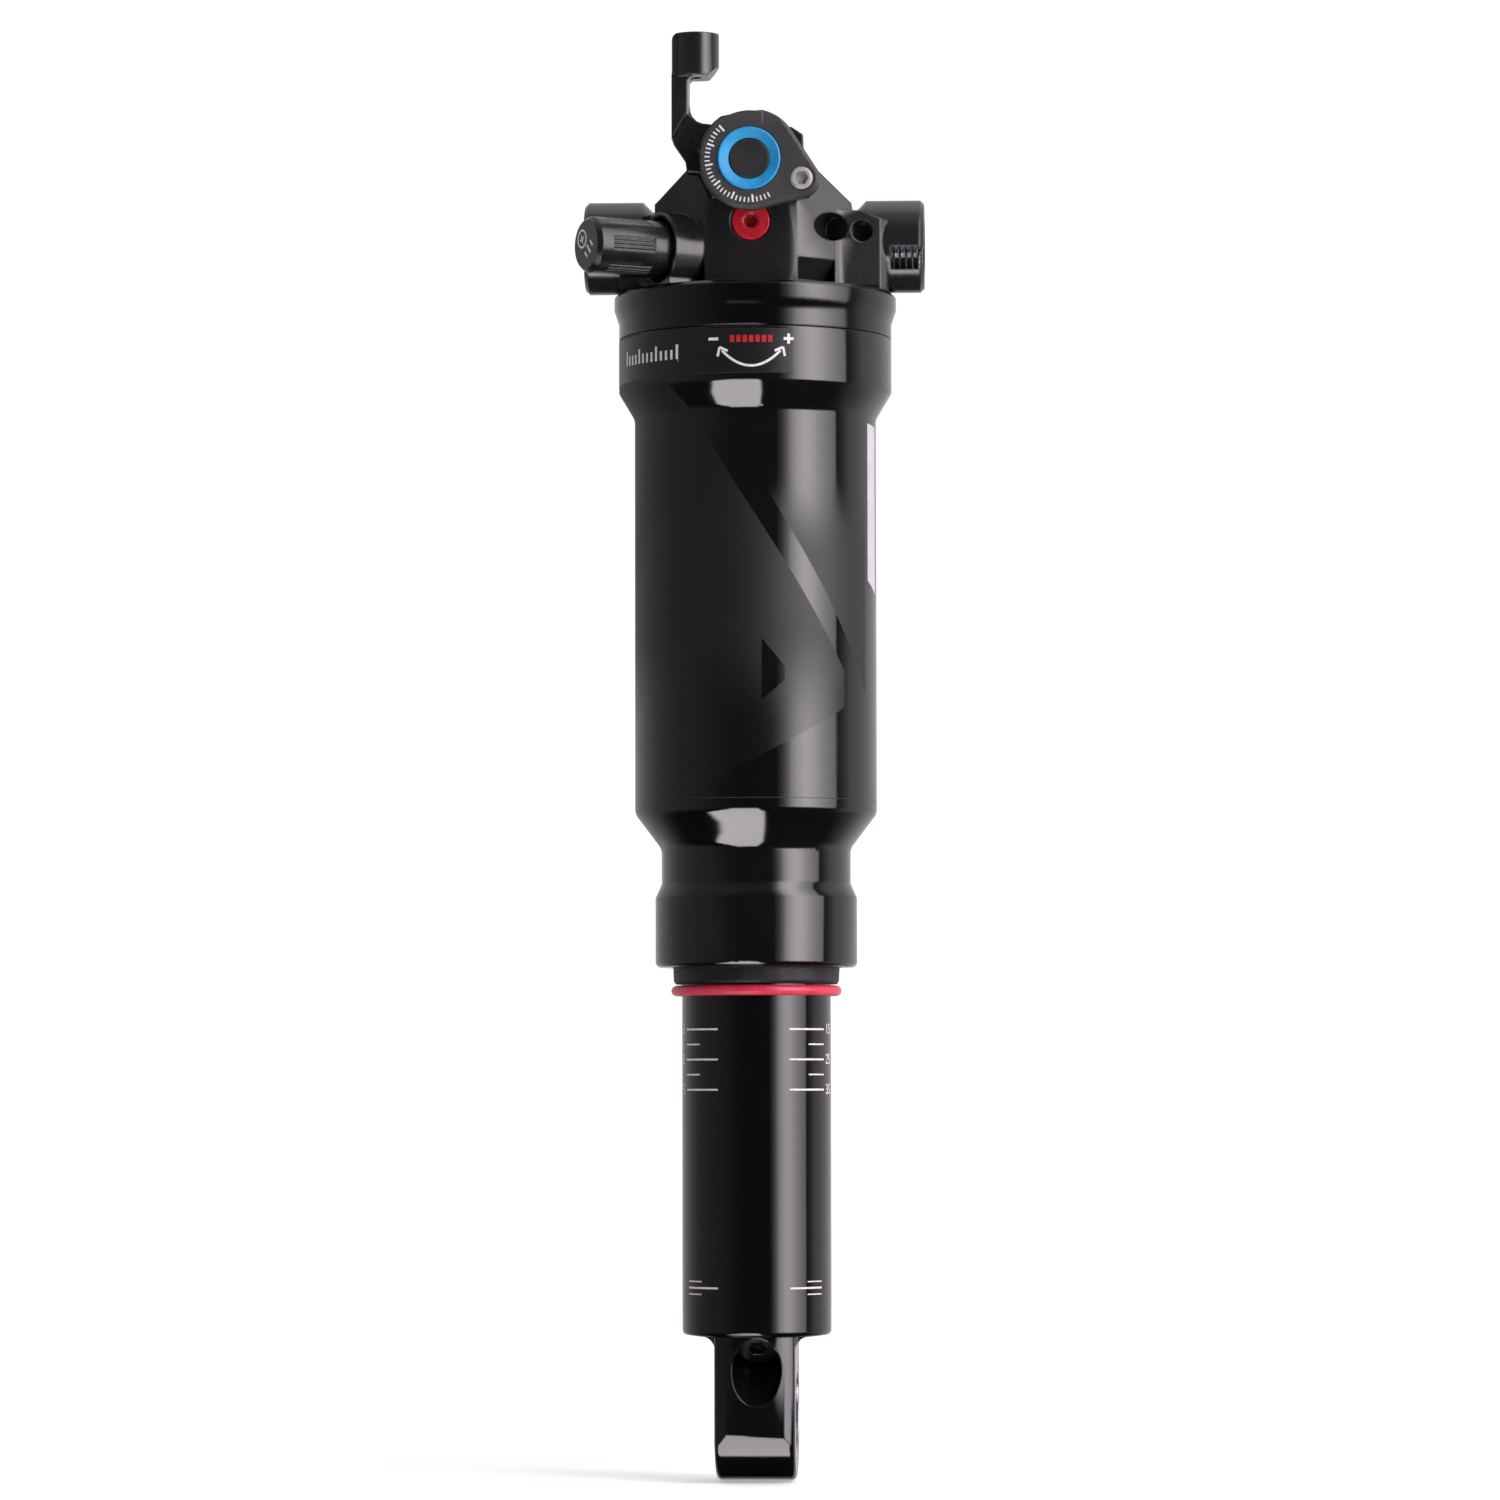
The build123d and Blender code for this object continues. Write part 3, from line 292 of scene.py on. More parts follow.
FINISHES = {
    # blacks of the body
    "anodised_black": dict(
        name="gloss_black_anodised", base=BLACK, tint=(0.0034, 0.0033, 0.0037),
        rough=(0.06, 0.095), patch=35.0, grain=3200.0, bump=0.02, turned=0.10,
        turned_scale=2600.0, wear=0.18, wear_colour=(0.10, 0.10, 0.11), edge=0.0003,
    ),
    "can": dict(
        name="gloss_black_can", base=(0.0030, 0.0029, 0.0033), tint=(0.0046, 0.0045, 0.0050),
        rough=(0.05, 0.085), level=0.60, patch=28.0, grain=3200.0, bump=0.02, turned=0.08,
        turned_scale=2400.0, wear=0.16, wear_colour=(0.10, 0.10, 0.11), edge=0.0003,
        graphic=can_graphic,
    ),
    "head_black": dict(
        name="satin_black_forging", base=(0.0105, 0.0102, 0.0110),
        tint=(0.0150, 0.0146, 0.0156), rough=(0.16, 0.23), level=0.55, patch=120.0,
        grain=2400.0, bump=0.16, wear=0.22, wear_colour=(0.12, 0.12, 0.125), edge=0.00045,
        dust=0.2, machined=0.1780,
    ),
    "cover_black": dict(
        name="matte_black_cover", base=(0.034, 0.0335, 0.0350), tint=(0.042, 0.0415, 0.0430),
        rough=(0.36, 0.48), level=0.45, patch=150.0, grain=3800.0, bump=0.16,
        wear_colour=(0.15, 0.15, 0.16), edge=0.0003,
    ),
    "label_film": dict(
        name="satin_label_film", base=(0.006, 0.006, 0.0065), tint=(0.0085, 0.0085, 0.009),
        rough=(0.30, 0.38), patch=60.0, grain=1800.0, bump=0.05, wear=0.2, edge=0.0001,
    ),
    # bare metals and the side strip's print
    "raw_aluminium": dict(
        name="turned_aluminium", base=(0.70, 0.70, 0.72), tint=(0.60, 0.60, 0.62),
        rough=(0.22, 0.36), metallic=1.0, patch=200.0, grain=3000.0, bump=0.15, turned=0.6,
        turned_scale=1800.0, wear=0.2, wear_colour=(0.85, 0.85, 0.86), edge=0.0002,
    ),
    "steel": dict(
        name="bright_steel", base=(0.66, 0.65, 0.63), tint=(0.56, 0.55, 0.53),
        rough=(0.16, 0.28), metallic=1.0, patch=500.0, grain=4200.0, bump=0.12, wear=0.25,
        wear_colour=(0.85, 0.84, 0.82), edge=0.00015,
    ),
    "plated_steel": dict(
        name="zinc_plated_steel", base=(0.46, 0.45, 0.44), tint=(0.38, 0.37, 0.36),
        rough=(0.34, 0.44), metallic=0.35, patch=500.0, grain=4200.0, bump=0.06, wear=0.25,
        wear_colour=(0.7, 0.69, 0.67), edge=0.00012,
    ),
    "strip_print": dict(
        name="strip_print", base=(0.44, 0.43, 0.45), tint=(0.40, 0.39, 0.41),
        rough=(0.40, 0.55), level=0.3, patch=300.0, grain=5200.0, bump=0.10, wear=0.2,
        wear_colour=(0.35, 0.35, 0.36), edge=0.00003,
    ),
    "dark_steel": dict(
        name="blackened_steel", base=(0.06, 0.06, 0.065), tint=(0.10, 0.10, 0.105),
        rough=(0.25, 0.4), metallic=0.9, patch=400.0, grain=4200.0, bump=0.15, wear=0.5,
        wear_colour=(0.35, 0.35, 0.36), edge=0.00015,
    ),
    "shaft_steel": dict(
        name="ground_shaft", base=(0.74, 0.74, 0.75), tint=(0.68, 0.68, 0.69),
        rough=(0.06, 0.12), metallic=1.0, patch=120.0, grain=4000.0, bump=0.05, turned=0.5,
        turned_scale=3000.0, wear=0.1, edge=0.00015,
    ),
    "brass": dict(
        name="turned_brass", base=(0.64, 0.44, 0.19), tint=(0.52, 0.35, 0.14),
        rough=(0.2, 0.34), metallic=1.0, patch=300.0, grain=3600.0, bump=0.12, wear=0.3,
        wear_colour=(0.8, 0.62, 0.34), edge=0.00015,
    ),
    # rubbers
    "rubber": dict(
        name="nitrile_rubber", base=(0.009, 0.009, 0.0095), tint=(0.015, 0.015, 0.016),
        rough=(0.45, 0.65), level=0.4, patch=260.0, grain=2800.0, bump=0.35, wear=0.15,
        wear_colour=(0.06, 0.06, 0.06), edge=0.0002, dust=0.35,
    ),
    "red_rubber": dict(
        name="red_silicone", base=(0.50, 0.020, 0.050), tint=(0.58, 0.030, 0.070),
        rough=(0.30, 0.42), patch=300.0, grain=3000.0, bump=0.18, wear=0.1,
        wear_colour=(0.75, 0.12, 0.17), edge=0.0001,
    ),
    # coloured anodising
    "red_anodised": dict(
        name="red_anodised", base=(0.50, 0.013, 0.024), tint=(0.60, 0.018, 0.032),
        rough=(0.24, 0.34), metallic=0.2, coat=0.3, patch=500.0, grain=4200.0, bump=0.12,
        wear_colour=(0.75, 0.20, 0.22), edge=0.0002,
    ),
    "blue_anodised": dict(
        name="blue_anodised", base=(0.014, 0.235, 0.47), tint=(0.018, 0.27, 0.54),
        rough=(0.38, 0.46), level=0.3, patch=600.0, grain=4200.0, bump=0.08, wear=0.2,
        wear_colour=(0.10, 0.40, 0.70), edge=0.00012,
    ),
    # plastics
    "ptfe": dict(
        name="filled_ptfe", base=(0.10, 0.10, 0.10), tint=(0.15, 0.15, 0.15),
        rough=(0.4, 0.55), patch=300.0, grain=2400.0, bump=0.2,
    ),
    "green_plastic": dict(
        name="moulded_nylon", base=(0.07, 0.07, 0.075), tint=(0.10, 0.10, 0.105),
        rough=(0.35, 0.5), patch=200.0, grain=2000.0, bump=0.25,
    ),
    "cap_plastic": dict(
        name="moulded_black_cap", base=(0.006, 0.006, 0.0065), tint=(0.009, 0.009, 0.0096),
        rough=(0.20, 0.28), patch=260.0, grain=3000.0, bump=0.2, wear=0.25,
        wear_colour=(0.12, 0.12, 0.125), dust=0.3,
    ),
    "disc_black": dict(
        name="matte_black_disc", base=(0.015, 0.015, 0.0155), tint=(0.019, 0.019, 0.020),
        rough=(0.38, 0.5), level=0.45, patch=260.0, grain=3000.0, bump=0.12, wear=0.2,
        wear_colour=(0.1, 0.1, 0.105), edge=0.0002,
    ),
    # prints and marks
    "white_print": dict(
        name="white_print", base=(0.66, 0.65, 0.67), tint=(0.56, 0.55, 0.58),
        rough=(0.40, 0.55), level=0.4, patch=1400.0, grain=5200.0, bump=0.25, wear=0.3,
        wear_colour=(0.45, 0.45, 0.46), edge=0.00003,
    ),
    "etched_mark": dict(
        name="laser_etched_mark", base=(0.66, 0.63, 0.56), tint=(0.50, 0.47, 0.42),
        rough=(0.45, 0.6), level=0.4, patch=2200.0, grain=6000.0, bump=0.4, wear=0.2,
        wear_colour=(0.4, 0.38, 0.34), edge=0.00003,
    ),
    "red_print": dict(
        name="red_print", base=(0.42, 0.012, 0.016), tint=(0.34, 0.010, 0.014),
        rough=(0.40, 0.55), level=0.4, patch=1400.0, grain=5200.0, bump=0.25, wear=0.2,
        wear_colour=(0.2, 0.01, 0.012), edge=0.00003,
    ),
    "floor": dict(
        name="pale_floor", base=(0.86, 0.86, 0.86), tint=(0.83, 0.83, 0.83),
        rough=(0.6, 0.7), level=0.2, patch=3.0, grain=60.0, bump=0.02, wear=0.0, edge=0.0005,
    ),
}
finishes = {key: make_finish(**values) for key, values in FINISHES.items()}

# CAD pieces whose finish differs from their material slot
FINISH_OVERRIDES = {
    "air_can": "can",
    "spool_cap": "disc_black",
    "pinch_bolt": "plated_steel",
    "charge_port_plug": "dark_steel",
    "cable_stop_screws": "dark_steel",
}


def shade_smooth(obj):
    """Smooth shading with splits at sharp edges, in place of the CAD normals."""
    mesh = obj.data
    if "custom_normal" in mesh.attributes:
        mesh.attributes.remove(mesh.attributes["custom_normal"])
    mesh.polygons.foreach_set("use_smooth", [True] * len(mesh.polygons))
    weld = obj.modifiers.new("weld", "WELD")
    weld.merge_threshold = 1e-6
    split = obj.modifiers.new("edges", "EDGE_SPLIT")
    split.split_angle = math.radians(28.0)
    split.use_edge_sharp = False


def finish_cad_pieces():
    slot_of = {part["node"]: part["material_slot"] for part in frame["record"]["subparts"]}
    for name, obj in frame["nodes"].items():
        obj.data.materials.clear()
        obj.data.materials.append(finishes[FINISH_OVERRIDES.get(name, slot_of[name])])
        shade_smooth(obj)


# ------------------------------------------------------------------ surfaces to draw on
# Each returns place(across, up, out), which turns mm on a surface into a point in metres.
def on_cylinder(radius, azimuth, z):
    """across is arc length towards +X, from an azimuth in degrees measured from the front."""
    def place(across, up, out):
        angle = math.radians(azimuth) + across / radius
        reach = radius + out
        return Vector((reach * math.sin(angle), -reach * math.cos(angle), z + up)) * MM
    return place


def on_spool_face(across, up, out):
    return Vector((across, SPOOL_FACE_Y - out, SPOOL_Z + up)) * MM


def on_valve_cap(across, up, out):
    offset = VALVE_DIRECTION * (VALVE_CAP_END + out) + VALVE_ACROSS * across
    return VALVE_ORIGIN + (offset + Vector((0, 0, up))) * MM


def moved(place, shift_across, shift_up, turn):
    """The same surface with its origin shifted and its axes turned by degrees."""
    cos, sin = math.cos(math.radians(turn)), math.sin(math.radians(turn))

    def moved_place(across, up, out):
        return place(
            cos * across - sin * up + shift_across, sin * across + cos * up + shift_up, out
        )
    return moved_place


# ------------------------------------------------------------------ thin pieces
def add_object(name, mesh, finish=None):
    obj = bpy.data.objects.new(name, mesh)
    scene.collection.objects.link(obj)
    if finish:
        mesh.materials.append(finishes[finish])
    return obj


def box_section(place, across, bottom, top, layer):
    low, high = layer
    corners = ((bottom, low), (top, low), (top, high), (bottom, high))
    return [place(across, up, out) for up, out in corners]


class Shape:
    """Closed solids gathered into one object. A layer is the solid's (low, high) out."""

    def __init__(self):
        self.verts = []
        self.faces = []

    def slab(self, place, layer, outline):
        """A thin slab from a flat outline of (across, up) points."""
        base = len(self.verts)
        count = len(outline)
        for out in layer:
            self.verts.extend(place(across, up, out) for across, up in outline)
        self.faces.append(list(range(base + count - 1, base - 1, -1)))
        self.faces.append(list(range(base + count, base + 2 * count)))
        for i in range(count):
            j = (i + 1) % count
            self.faces.append([base + i, base + j, base + count + j, base + count + i])

    def rectangle(self, place, layer, left, right, bottom, top):
        self.slab(place, layer, [(left, bottom), (right, bottom), (right, top), (left, top)])

    def bar(self, place, layer, start, end, half_width):
        """A straight bar between two (across, up) points."""
        (x0, y0), (x1, y1) = start, end
        length = math.hypot(x1 - x0, y1 - y0)
        x = -(y1 - y0) / length * half_width
        y = (x1 - x0) / length * half_width
        outline = [(x0 - x, y0 - y), (x1 - x, y1 - y), (x1 + x, y1 + y), (x0 + x, y0 + y)]
        self.slab(place, layer, outline)

    def loft(self, sections, capped=True):
        """Joins cross-sections that have the same number of points."""
        base = len(self.verts)
        count = len(sections[0])
        for section in sections:
            self.verts.extend(section)
        end = len(self.verts) - count
        for start in range(base, end, count):
            following = start + count
            for i in range(count):
                j = (i + 1) % count
                self.faces.append([start + i, following + i, following + j, start + j])
        if capped:
            self.faces.append(list(range(base + count - 1, base - 1, -1)))
            self.faces.append(list(range(end, end + count)))

    def strip(self, place, layer, left, right, bottom, top, steps):
        """A slab that bends along its width."""
        self.loft([
            box_section(place, left + (right - left) * i / steps, bottom, top, layer)
            for i in range(steps + 1)
        ])

    def build(self, name, finish, body, flat=False):
        mesh = bpy.data.meshes.new(name)
        mesh.from_pydata([tuple(vert) for vert in self.verts], [], self.faces)
        edit = bmesh.new()
        edit.from_mesh(mesh)
        bmesh.ops.remove_doubles(edit, verts=edit.verts, dist=1e-8)
        bmesh.ops.recalc_face_normals(edit, faces=edit.faces)
        edit.to_mesh(mesh)
        edit.free()
        obj = add_object(name, mesh, finish)
        mesh.polygons.foreach_set("use_smooth", [not flat] * len(mesh.polygons))
        if not flat:
            split = obj.modifiers.new("edges", "EDGE_SPLIT")
            split.split_angle = math.radians(30)
        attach(obj, body)


# ------------------------------------------------------------------ damper tube
def sag_height(percent):
    """Height of a sag mark: the scale starts 117.5 below the trunnions and is 47.5 long."""
    return TRUNNION_Z - 117.5 - percent / 100 * 47.5


def sag_marks():
    """Marks every five per cent and a triple mark near the tube's bottom, on both sides."""
    long_start, short_start, end = 28.6, 46.6, 66.3  # azimuths in degrees
    triple_z = TRUNNION_Z - 165.2
    # height, start and end azimuth, half thickness
    marks = [
        (sag_height(percent), long_start, end, 0.15)
        if percent % 10 else (sag_height(percent), short_start, end, 0.12)
        for percent in (15, 20, 25, 30, 35)
    ]
    marks += [
        (triple_z, long_start, 62.0, 0.15),
        (triple_z + 1.0, 45.0, 62.0, 0.10),
        (triple_z - 1.0, 45.0, 62.0, 0.10),
    ]
    shape = Shape()
    for z, start, stop, half in marks:
        for side in (1, -1):
            ends = sorted(math.radians(angle) * TUBE_RADIUS * side for angle in (start, stop))
            place = on_cylinder(TUBE_RADIUS, 0, z)
            shape.strip(place, MARK_LAYER, *ends, -half, half, steps=10)
    shape.build("sag_marks", "etched_mark", "damper_body")


def numerals(name, text, place):
    """Sag scale numbers laid on a surface."""
    curve = bpy.data.curves.new(name + "_text", "FONT")
    curve.body = text
    curve.size = 2.3
    curve.extrude = 0.019
    curve.align_x = "CENTER"
    curve.align_y = "CENTER"
    curve.resolution_u = 3
    curve.space_character = 1.05
    holder = add_object(name + "_holder", curve)
    bpy.context.view_layer.update()
    evaluated = holder.evaluated_get(bpy.context.evaluated_depsgraph_get())
    mesh = bpy.data.meshes.new_from_object(evaluated)
    bpy.data.objects.remove(holder)
    bpy.data.curves.remove(curve)
    edit = bmesh.new()
    edit.from_mesh(mesh)
    bmesh.ops.remove_doubles(edit, verts=edit.verts, dist=1e-5)
    bmesh.ops.triangulate(edit, faces=edit.faces)
    for vert in edit.verts:
        vert.co = place(*vert.co)
    bmesh.ops.recalc_face_normals(edit, faces=edit.faces)
    edit.to_mesh(mesh)
    edit.free()
    mesh.name = name
    mesh.materials.clear()
    obj = add_object(name, mesh, "etched_mark")
    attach(obj, "damper_body")


def sag_numerals():
    for percent in (15, 25, 35):
        for side, azimuth in (("right", 75.5), ("left", -75.5)):
            place = on_cylinder(TUBE_RADIUS, azimuth, sag_height(percent))
            numerals(f"scale_{side}_{percent}", str(percent), place)


# ------------------------------------------------------------------ can's collar
# Surface that carries the arrow, the signs and the red blocks
ARROW_PLACE = on_cylinder(COLLAR_RADIUS, 0.9, TRUNNION_Z - 18.85)


def collar_label():
    shape = Shape()
    left, right = (math.radians(angle) * COLLAR_RADIUS for angle in (-96, 17.0))
    place = on_cylinder(COLLAR_RADIUS, 0, TRUNNION_Z - 18.8)
    shape.strip(place, LABEL_LAYER, left, right, -3.6, 3.4, steps=48)
    shape.build("collar_label", "label_film", "head_and_can")


def collar_print():
    """A sagging double arrow, a minus above its left end and a plus above its right."""
    half_line = 0.19
    head_length = 1.45
    # left, right, bottom, top
    signs = [
        (-6.8, -5.2, 1.6, 2.05),  # minus
        (5.1, 6.7, 1.6, 2.05),  # plus: crossbar, then its lower and upper arms
        (5.68, 6.12, 1.03, 1.595),
        (5.68, 6.12, 2.055, 2.62),
    ]
    shape = Shape()
    points = []
    for i in range(17):
        along = -1 + 2 * i / 16
        points.append((4.6 * along, -2.4 * (1 - along * along) - 0.05))
    for start, end in zip(points, points[1:]):
        shape.bar(ARROW_PLACE, COLLAR_PRINT_LAYER, start, end, half_line)
    for side in (1, -1):
        tip = (5.0 * side, 0.5)
        for degrees in (205.0, 282.0):
            angle = math.radians(degrees if side == 1 else 180 - degrees)
            end = (tip[0] + math.cos(angle) * head_length, tip[1] + math.sin(angle) * head_length)
            shape.bar(ARROW_PLACE, COLLAR_PRINT_LAYER, tip, end, half_line)
    for sign in signs:
        shape.rectangle(ARROW_PLACE, COLLAR_PRINT_LAYER, *sign)
    shape.build("collar_print", "white_print", "head_and_can", flat=True)


def collar_scale():
    """Short graduated scale at the left of the collar, every fourth tick taller."""
    half_span, half_tick, tick_foot = 6.5, 0.23, -0.95
    half_line = half_span + half_tick
    place = on_cylinder(COLLAR_RADIUS, -49.0, TRUNNION_Z - 18.9)
    shape = Shape()
    for i in range(13):
        middle = -half_span + 2 * half_span * i / 12
        top = tick_foot + (2.3 if i % 4 == 0 else 1.5)
        shape.rectangle(
            place, COLLAR_PRINT_LAYER, middle - half_tick, middle + half_tick, tick_foot, top
        )
    shape.rectangle(place, COLLAR_PRINT_LAYER, -half_line, half_line, -1.34, -1.06)
    shape.build("collar_scale", "white_print", "head_and_can", flat=True)


def collar_red_blocks():
    """Row of seven blocks above the arrow, at a pitch of 1."""
    half_width = 0.34
    shape = Shape()
    for middle in range(-3, 4):
        left, right = middle - half_width, middle + half_width
        shape.rectangle(ARROW_PLACE, COLLAR_PRINT_LAYER, left, right, 1.25, 2.35)
    shape.build("collar_red_blocks", "red_print", "head_and_can", flat=True)


# ------------------------------------------------------------------ can's long tube
def can_side_strip():
    """Plain strip on the right of the can; both ends slope down towards the back."""
    steps = 10
    place = on_cylinder(CAN_RADIUS, 0, 0)
    sections = []
    for i in range(steps + 1):
        across = math.radians(69.7 + 12.2 * i / steps) * CAN_RADIUS
        top = TRUNNION_Z - 28.9 - 0.3 * i / steps
        bottom = TRUNNION_Z - 53.8 - 2.0 * i / steps
        sections.append(box_section(place, across, bottom, top, MARK_LAYER))
    shape = Shape()
    shape.loft(sections)
    shape.build("can_side_strip", "strip_print", "head_and_can")


def can_seam_line():
    """Fine line low on the tube, round its front."""
    half_arc = math.radians(100) * CAN_RADIUS
    place = on_cylinder(CAN_RADIUS, 0, TRUNNION_Z - 88.6)
    shape = Shape()
    shape.strip(place, SEAM_LAYER, -half_arc, half_arc, -0.06, 0.06, steps=60)
    shape.build("can_seam_line", "label_film", "head_and_can")


# ------------------------------------------------------------------ spool and valve cap
def spool_scale():
    """Arc of radial ticks on the spool cover, every fifth longer and wider."""
    outer = 6.95
    shape = Shape()
    for i in range(30):
        angle = math.radians(132.0 + 166.0 * i / 29)
        inner, half_width = (6.15, 0.11) if i % 5 else (5.75, 0.15)
        start, end = (
            (radius * math.cos(angle), radius * math.sin(angle)) for radius in (inner, outer)
        )
        shape.bar(on_spool_face, FACE_PRINT_LAYER, start, end, half_width)
    shape.build("spool_scale", "white_print", "lockout_spool", flat=True)


def valve_cap_mark():
    """A ring with a cross, and three bars, on the cap's end face."""
    ring_radius, ring_width, ring_steps = 1.35, 0.30, 28
    arm, half_arm, arm_gap = 0.72, 0.13, 0.135
    ring_place = moved(on_valve_cap, -1.35, 1.0, -25.0)

    def polar(angle, radius, out):
        return ring_place(radius * math.cos(angle), radius * math.sin(angle), out)

    inner, outer = ring_radius - ring_width / 2, ring_radius + ring_width / 2
    shape = Shape()
    shape.loft(
        [
            box_section(polar, math.radians(360 * i / ring_steps), inner, outer, FACE_PRINT_LAYER)
            for i in range(ring_steps + 1)
        ],
        capped=False,
    )
    # cross: turn, left, right; the second arm is split where it meets the first
    for turn, left, right in ((45, -arm, arm), (135, arm_gap, arm), (135, -arm, -arm_gap)):
        place = moved(ring_place, 0, 0, turn)
        shape.rectangle(place, FACE_PRINT_LAYER, left, right, -half_arm, half_arm)
    # bars: middle, half length
    bar_place = moved(on_valve_cap, 0.85, -0.75, 44.0)
    for middle, half in ((-1.2, 0.6), (0.0, 0.85), (1.2, 0.6)):
        shape.rectangle(bar_place, FACE_PRINT_LAYER, middle - 0.19, middle + 0.19, -half, half)
    shape.build("valve_cap_mark", "white_print", "cap", flat=True)


# ------------------------------------------------------------------ trunnion threads
def trunnion_thread(side, label):
    """Helical ridge inside a trunnion boss, fading in and out over one turn."""
    turns, steps_per_turn = 10, 36
    pitch, start_x = 1.0, 16.1
    radius, depth, half_width = 4.47, 0.40, 0.40
    count = turns * steps_per_turn
    sections = []
    for i in range(count + 1):
        angle = 2 * math.pi * i / steps_per_turn
        middle = start_x + i / steps_per_turn * pitch
        fade = min(1.0, i / steps_per_turn, (count - i) / steps_per_turn)
        profile = ((-half_width, radius), (0.0, radius - depth * fade), (half_width, radius))
        sections.append([
            Vector((
                side * (middle + offset),
                reach * math.cos(angle),
                TRUNNION_Z + reach * math.sin(angle) * side,
            )) * MM
            for offset, reach in profile
        ])
    shape = Shape()
    shape.loft(sections)
    name = "trunnion_thread_" + label
    shape.build(name, "dark_steel", "head_and_can", flat=True)


# ------------------------------------------------------------------ floor
def make_floor():
    """Faintly glowing disc just under the shock, hidden from reflections."""
    radius, rings, sides = 0.75, 6, 64  # radius in metres
    z = cad_box[0][2] - 0.0002
    verts = [(0.0, 0.0, z)]
    for ring in range(1, rings + 1):
        for i in range(sides):
            angle = 2 * math.pi * i / sides
            reach = radius * ring / rings
            verts.append((reach * math.cos(angle), reach * math.sin(angle), z))
    faces = [[0, 1 + i, 1 + (i + 1) % sides] for i in range(sides)]
    for ring in range(rings - 1):
        inner, outer = 1 + ring * sides, 1 + (ring + 1) * sides
        for i in range(sides):
            j = (i + 1) % sides
            faces.append([inner + i, outer + i, outer + j, inner + j])
    mesh = bpy.data.meshes.new("floor")
    mesh.from_pydata(verts, [], faces)
    floor = add_object("floor", mesh, "floor")
    shader_nodes = finishes["floor"].node_tree.nodes
    surface = [node for node in shader_nodes if node.type == "BSDF_PRINCIPLED"][0]
    surface.inputs["Emission Color"].default_value = (1, 1, 1, 1)
    surface.inputs["Emission Strength"].default_value = 0.35
    floor.visible_glossy = False


# ------------------------------------------------------------------ light
# Surround: degrees round from the camera towards +X, brightness
SURROUND = [
    (-180, 0.62), (-158, 0.62), (-131, 0.58), (-112, 0.43), (-95, 0.31), (-72, 0.24),
    (-50, 0.17), (-31, 0.07), (-15, 0.025), (16, 0.02), (84, 0.03), (92, 0.30),
    (102, 0.72), (118, 0.80), (140, 0.85), (180, 0.62),
]
# Softbox across its width: same columns
SOFTBOX = [
    (20.0, 0.0), (25.5, 0.55), (30.5, 1.9), (34.0, 3.9), (39.0, 5.5), (44.0, 6.6),
    (48.5, 7.1), (54.0, 6.5), (58.0, 5.8), (61.0, 5.1), (65.0, 4.3), (70.0, 3.5),
    (76.0, 2.7), (81.5, 2.1), (83.5, 0.0),
]
SOFTBOX_SPAN = 100.0  # degrees covered by the softbox's ramp
SOFTBOX_PEAK = 8.0  # brightness at the ramp's white
CARD_BRIGHTNESS = 8.0
TOP_BRIGHTNESS = 0.55
LIGHT_TINT = (1.02, 0.965, 1.02)
BACKDROP_STRENGTH = 1.05  # white seen by the camera only


def surround_light(nodes, azimuth, elevation):
    """Pale surround behind, dark in front, fading out below the horizon."""
    turn = nodes.math("ADD", nodes.math("DIVIDE", azimuth, 2 * math.pi), 0.5)
    brightness = nodes.grey_ramp(turn, [((deg + 180) / 360, grey) for deg, grey in SURROUND])
    fade = nodes.remap(elevation, math.radians(-46.0), math.radians(-16.0))
    return nodes.times(brightness, fade)


def softbox_light(nodes, azimuth, elevation):
    """Tall softbox at the right front."""
    bottom, top, softness = (math.radians(angle) for angle in (-15.0, 58.0, 3.0))
    upright = nodes.window(elevation, bottom, top, softness)
    across = nodes.grey_ramp(
        nodes.math("DIVIDE", azimuth, math.radians(SOFTBOX_SPAN)),
        [(deg / SOFTBOX_SPAN, value / SOFTBOX_PEAK) for deg, value in SOFTBOX],
    )
    return nodes.times(upright, nodes.times(across, SOFTBOX_PEAK))


def card_light(nodes, x, y, z):
    """Card low in front, laid out on a plane one unit below."""
    drop = nodes.math("MAXIMUM", nodes.times(z, -1.0), 0.0001)
    card_x = nodes.math("DIVIDE", x, drop)
    card_y = nodes.math("DIVIDE", y, drop)
    wide = nodes.window(card_x, -0.62, 0.12, softness=0.02)
    deep = nodes.window(card_y, -1.65, -0.22, softness=0.03)
    card = nodes.times(wide, deep)
    card = nodes.times(card, nodes.remap(z, -0.35, -0.40))
    return nodes.times(card, CARD_BRIGHTNESS)


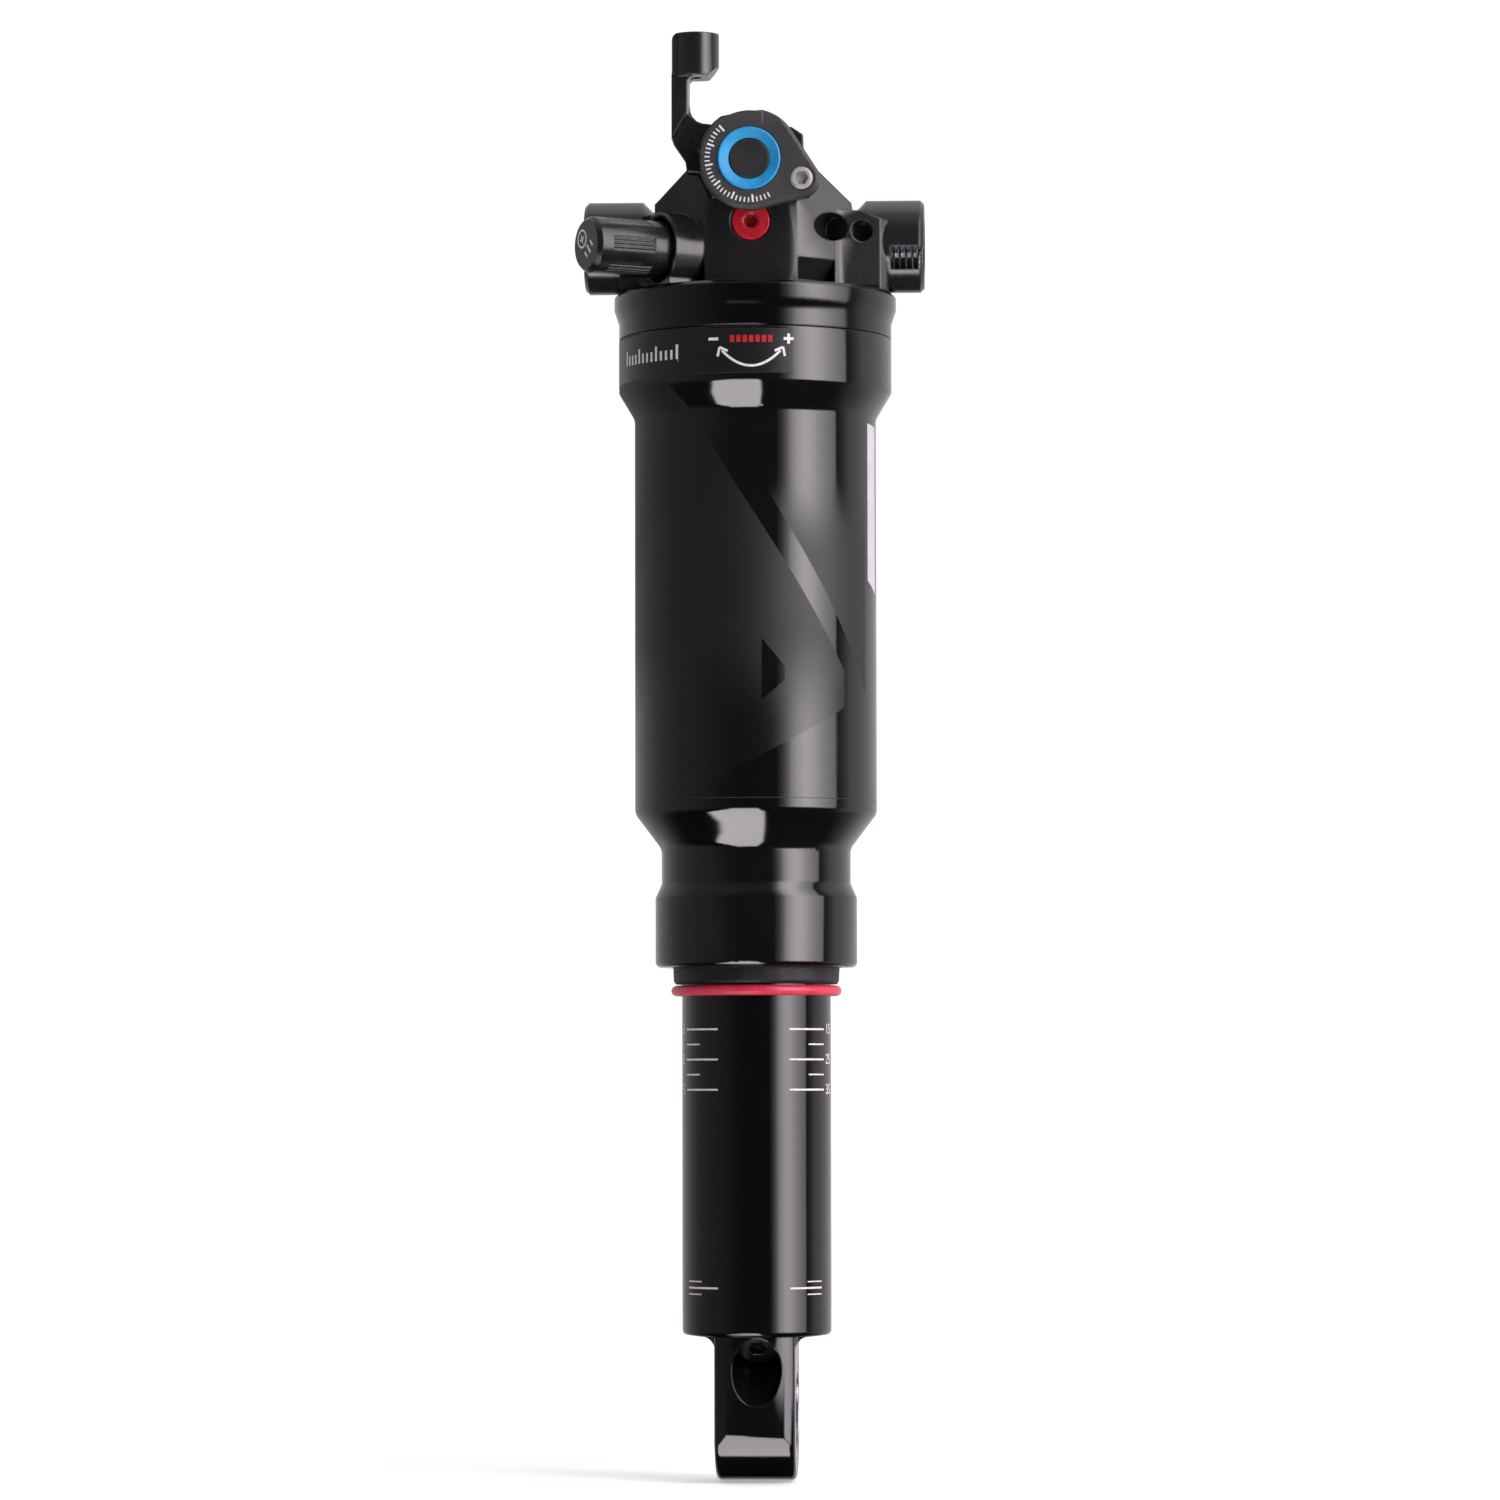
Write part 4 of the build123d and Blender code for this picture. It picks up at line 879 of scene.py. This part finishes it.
def make_world():
    world = bpy.data.worlds.new("studio")
    scene.world = world
    world.use_nodes = True
    nodes = Nodes(world.node_tree)
    output = nodes.add("ShaderNodeOutputWorld")
    x, y, z = nodes.separate(nodes.add("ShaderNodeTexCoord").outputs["Generated"])
    azimuth = nodes.math("ARCTAN2", x, nodes.times(y, -1.0))
    azimuth = nodes.math("SUBTRACT", azimuth, math.radians(CAMERA_AZIMUTH))
    elevation = nodes.math("ARCSINE", z)
    level = surround_light(nodes, azimuth, elevation)
    level = nodes.math("ADD", level, softbox_light(nodes, azimuth, elevation))
    level = nodes.math("ADD", level, card_light(nodes, x, y, z))
    top = nodes.remap(elevation, math.radians(35.0), math.radians(75.0))
    level = nodes.math("ADD", level, nodes.times(top, TOP_BRIGHTNESS))
    tinted = nodes.add(
        "ShaderNodeVectorMath", {0: LIGHT_TINT, "Scale": level}, operation="SCALE"
    )
    light = nodes.add("ShaderNodeBackground", {"Color": tinted.outputs[0], "Strength": 1.0})
    backdrop = nodes.add(
        "ShaderNodeBackground", {"Color": (1.0, 1.0, 1.0, 1), "Strength": BACKDROP_STRENGTH}
    )
    is_camera = nodes.add("ShaderNodeLightPath").outputs["Is Camera Ray"]
    chosen = nodes.add(
        "ShaderNodeMixShader", {0: is_camera, 1: light.outputs[0], 2: backdrop.outputs[0]}
    )
    nodes.tree.links.new(chosen.outputs[0], output.inputs[0])
    world.cycles.sampling_method = "MANUAL"
    world.cycles.sample_map_resolution = 1024


# ------------------------------------------------------------------ camera
def make_camera():
    """Long lens from the front, slightly to the right, tilted up a little."""
    distance, height = 0.994, 0.0528  # metres
    tilt, yaw, roll = math.radians(2.993), math.radians(0.055), math.radians(-0.10)
    azimuth = math.radians(CAMERA_AZIMUTH)
    data = bpy.data.cameras.new("camera")
    data.sensor_width = 36.0
    data.lens = 150.3
    data.clip_start = 0.01
    data.clip_end = 20.0
    camera = add_object("camera", data)
    place = Vector((distance * math.sin(azimuth), -distance * math.cos(azimuth), height))
    camera.matrix_world = (
        Matrix.Translation(place)
        @ Matrix.Rotation(azimuth + yaw, 4, "Z")
        @ Matrix.Rotation(math.radians(90) + tilt, 4, "X")
        @ Matrix.Rotation(roll, 4, "Z")
    )
    scene.camera = camera


# ------------------------------------------------------------------ build
finish_cad_pieces()
sag_marks()
sag_numerals()
collar_label()
collar_print()
collar_scale()
collar_red_blocks()
can_side_strip()
can_seam_line()
spool_scale()
valve_cap_mark()
trunnion_thread(1, "right")
trunnion_thread(-1, "left")
make_floor()
make_world()
make_camera()

scene.view_settings.view_transform = "Standard"
scene.view_settings.look = "None"
scene.view_settings.exposure = 0.0
scene.view_settings.gamma = 1.0
